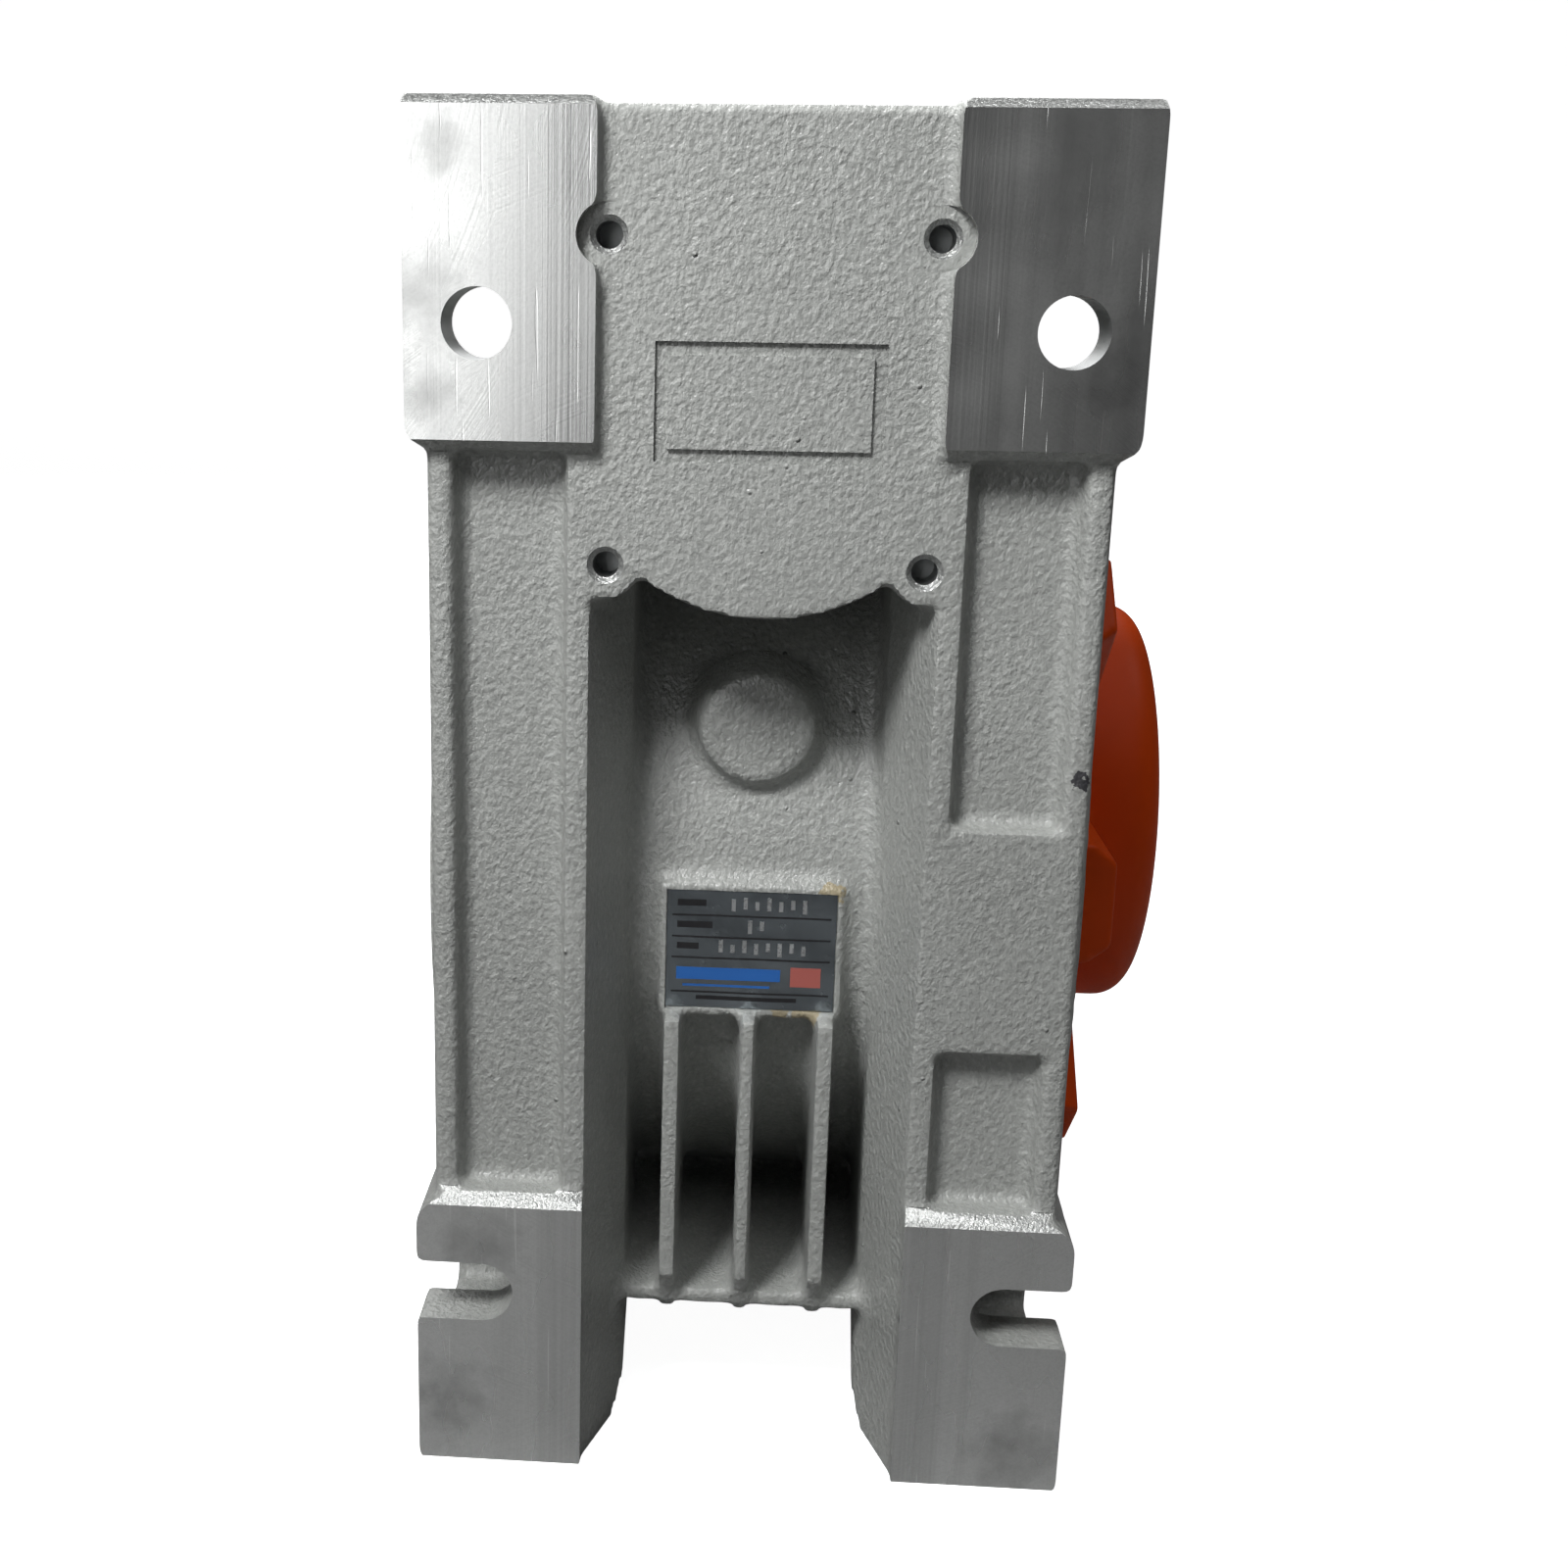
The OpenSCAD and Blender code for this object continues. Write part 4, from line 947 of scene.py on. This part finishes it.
def plate_marks():
    """The plate's marks with their material: ruled lines, plain bars and rows of stamped strokes.

    Each mark holds u0, u1, v0, v1 as shares of the plate's width and height, v from the top.
    """
    printed = [((0.03, 0.97, v, v + 0.016), INK) for v in (0.20, 0.385, 0.565, 0.86)]
    printed += [
        ((0.06, 0.06 + length, v - 0.03, v + 0.025), INK)
        for v, length in ((0.105, 0.17), (0.29, 0.21), (0.475, 0.13))
    ]
    stamped = []
    for v, first, count in ((0.105, 0.38, 7), (0.29, 0.48, 2), (0.475, 0.31, 8)):
        for i in range(count):
            u = first + 0.07 * i
            lean = 0.012 * math.sin(3.1 * i + 9 * v)
            tall = 0.045 + 0.012 * math.sin(2.3 * i + 5 * v)
            stamped.append(((u, u + 0.024, v - tall + lean, v + tall + lean), STAMPED_HIGHLIT_FOIL))
    bars = [
        ((0.06, 0.68, 0.655, 0.76), BLUE_INK), ((0.10, 0.62, 0.80, 0.82), BLUE_INK),
        ((0.74, 0.92, 0.63, 0.80), RED_INK), ((0.18, 0.78, 0.90, 0.935), INK),
    ]
    return printed + stamped + bars


def make_nameplate():
    """Foil plate with ruled rows, plain printed bars and rows of stamped strokes; it carries no writing."""
    wide, high = PLATE_HI.x - PLATE_LO.x, PLATE_HI.z - PLATE_LO.z
    materials = [FOIL, INK, BLUE_INK, RED_INK, STAMPED_HIGHLIT_FOIL]
    sheet_range = (-0.3 * MM, 0.015 * MM)
    ink_range = (0.012 * MM, 0.035 * MM)
    stamp_range = (0.01 * MM, 0.2 * MM)

    work = bmesh.new()
    for (u0, u1, v0, v1), material in [((0, 1, 0, 1), FOIL)] + plate_marks():
        low, top = {FOIL: sheet_range, STAMPED_HIGHLIT_FOIL: stamp_range}.get(material, ink_range)
        mesh = leaf(
            PLATE_LO.x + u0 * wide, PLATE_LO.x + u1 * wide, PLATE_HI.z - v1 * high, PLATE_HI.z - v0 * high,
            low, top,
        )
        start = len(work.faces)
        work.from_mesh(mesh)
        bpy.data.meshes.remove(mesh)
        work.faces.ensure_lookup_table()
        for face in work.faces[start:]:
            face.material_index = materials.index(material)
    bmesh.ops.recalc_face_normals(work, faces=work.faces)
    mesh = bpy.data.meshes.new("nameplate_sheet")
    work.to_mesh(mesh)
    work.free()
    for material in materials:
        mesh.materials.append(material)
    finish_mesh(link(mesh, "printed_nameplate"), "nameplate")


# ---- Stage ----

def by_ray(t, seen, lit):
    """One value for what the camera sees and another for the light that reaches the object."""
    path = t.add("ShaderNodeLightPath")
    return t.mix(path.outputs["Is Camera Ray"], lit, seen)


def stage():
    """A pale floor that curves up behind the object."""
    reach, rise, bend, steps = 3.0, 3.6, 0.8, 12
    outline = [(-reach, 0.0)]
    for i in range(steps + 1):
        angle = i * math.pi / 2 / steps
        outline.append((reach - bend + bend * math.sin(angle), bend - bend * math.cos(angle)))
    outline.append((reach, rise))
    mesh = bpy.data.meshes.new("floor")
    vertices = [(x, y, z + BASE_Z) for y, z in outline for x in (-reach, reach)]
    faces = [(2 * i, 2 * i + 1, 2 * i + 3, 2 * i + 2) for i in range(len(outline) - 1)]
    mesh.from_pydata(vertices, [], faces)
    mesh.shade_smooth()
    floor = link(mesh, "floor")
    t = Tree("pale_floor")
    t.principled(
        Base_Color=by_ray(t, (0.9, 0.9, 0.9), (0.26, 0.26, 0.26)), Roughness=0.8,
        Emission_Color=by_ray(t, (1, 1, 1), (0, 0, 0)), Emission_Strength=0.95,
    )
    mesh.materials.append(t.material)


def lamp(name, place, aim, size, power, spread=180, gloss=True, diffuse=True):
    """A soft rectangular lamp; gloss and diffuse say which kinds of surface it lights."""
    data = bpy.data.lights.new(name, "AREA")
    data.shape = "RECTANGLE"
    data.size, data.size_y = size
    data.energy = power
    data.spread = math.radians(spread)
    item = bpy.data.objects.new(name, data)
    item.location = place
    item.rotation_euler = (Vector(aim) - Vector(place)).to_track_quat("-Z", "Y").to_euler()
    item.visible_glossy = gloss
    item.visible_diffuse = diffuse
    bpy.context.collection.objects.link(item)


def lights():
    """Lamps, and a world that is white to the camera and dim to everything else."""
    lamp("key", (-0.32, -0.58, 0.72), (-0.06, -0.12, 0.22), (0.22, 0.22), power=1.5, spread=75)
    lamp("window", (-0.66, -1.20, 0.35), (0, 0, 0.12), (0.95, 0.9), power=6.8, diffuse=False)
    lamp("front", (-0.55, -0.65, 0.35), (0, 0, 0.05), (0.4, 0.4), power=0.4, gloss=False)
    lamp("top", (0.05, -0.70, 1.15), (0, 0, 0), (0.6, 0.6), power=2.0)
    lamp("side", (0.75, 0.1, 1.5), (0, 0, 0), (0.7, 0.7), power=3.0)
    lamp("back", (-0.3, 1.5, 1.0), (0, 0, 0), (1.2, 0.8), power=16)
    world = bpy.data.worlds.new("studio")
    bpy.context.scene.world = world
    world.use_nodes = True
    tree = world.node_tree
    back = tree.nodes["Background"]
    path = tree.nodes.new("ShaderNodeLightPath")
    level = tree.nodes.new("ShaderNodeMapRange")
    tree.links.new(path.outputs["Is Camera Ray"], level.inputs["Value"])
    level.inputs["To Min"].default_value = 0.05
    level.inputs["To Max"].default_value = 1.0
    back.inputs["Color"].default_value = (1, 1, 1, 1)
    tree.links.new(level.outputs[0], back.inputs["Strength"])


VIEW_FROM = (-0.0027, -0.4900, 0.1298)
VIEW_RIGHT = (0.99745, 0.06983, 0.01493)
VIEW_UP = (-0.03183, 0.24760, 0.96834)
SENSOR, LENS = 36, 42.04
SHIFT_X, SHIFT_Y = 0.1002, -0.0081


def camera():
    """The viewing angle: square on to the casing's closed end, from its upper half."""
    data = bpy.data.cameras.new("camera")
    data.sensor_width = SENSOR
    data.lens = LENS
    data.shift_x, data.shift_y = SHIFT_X, SHIFT_Y
    data.clip_start, data.clip_end = 0.01, 50
    right, up = Vector(VIEW_RIGHT), Vector(VIEW_UP)
    turn = Matrix((right, up, right.cross(up))).transposed().to_4x4()
    item = bpy.data.objects.new("camera", data)
    item.matrix_world = Matrix.Translation(VIEW_FROM) @ turn
    bpy.context.collection.objects.link(item)
    bpy.context.scene.camera = item


dress_cad_nodes()
make_housing()
make_side_cover()
make_input_flange()
make_output_cover()
make_nameplate()
soften_cad_edges()
stage()
lights()
camera()
bpy.context.scene.view_settings.view_transform = "Standard"
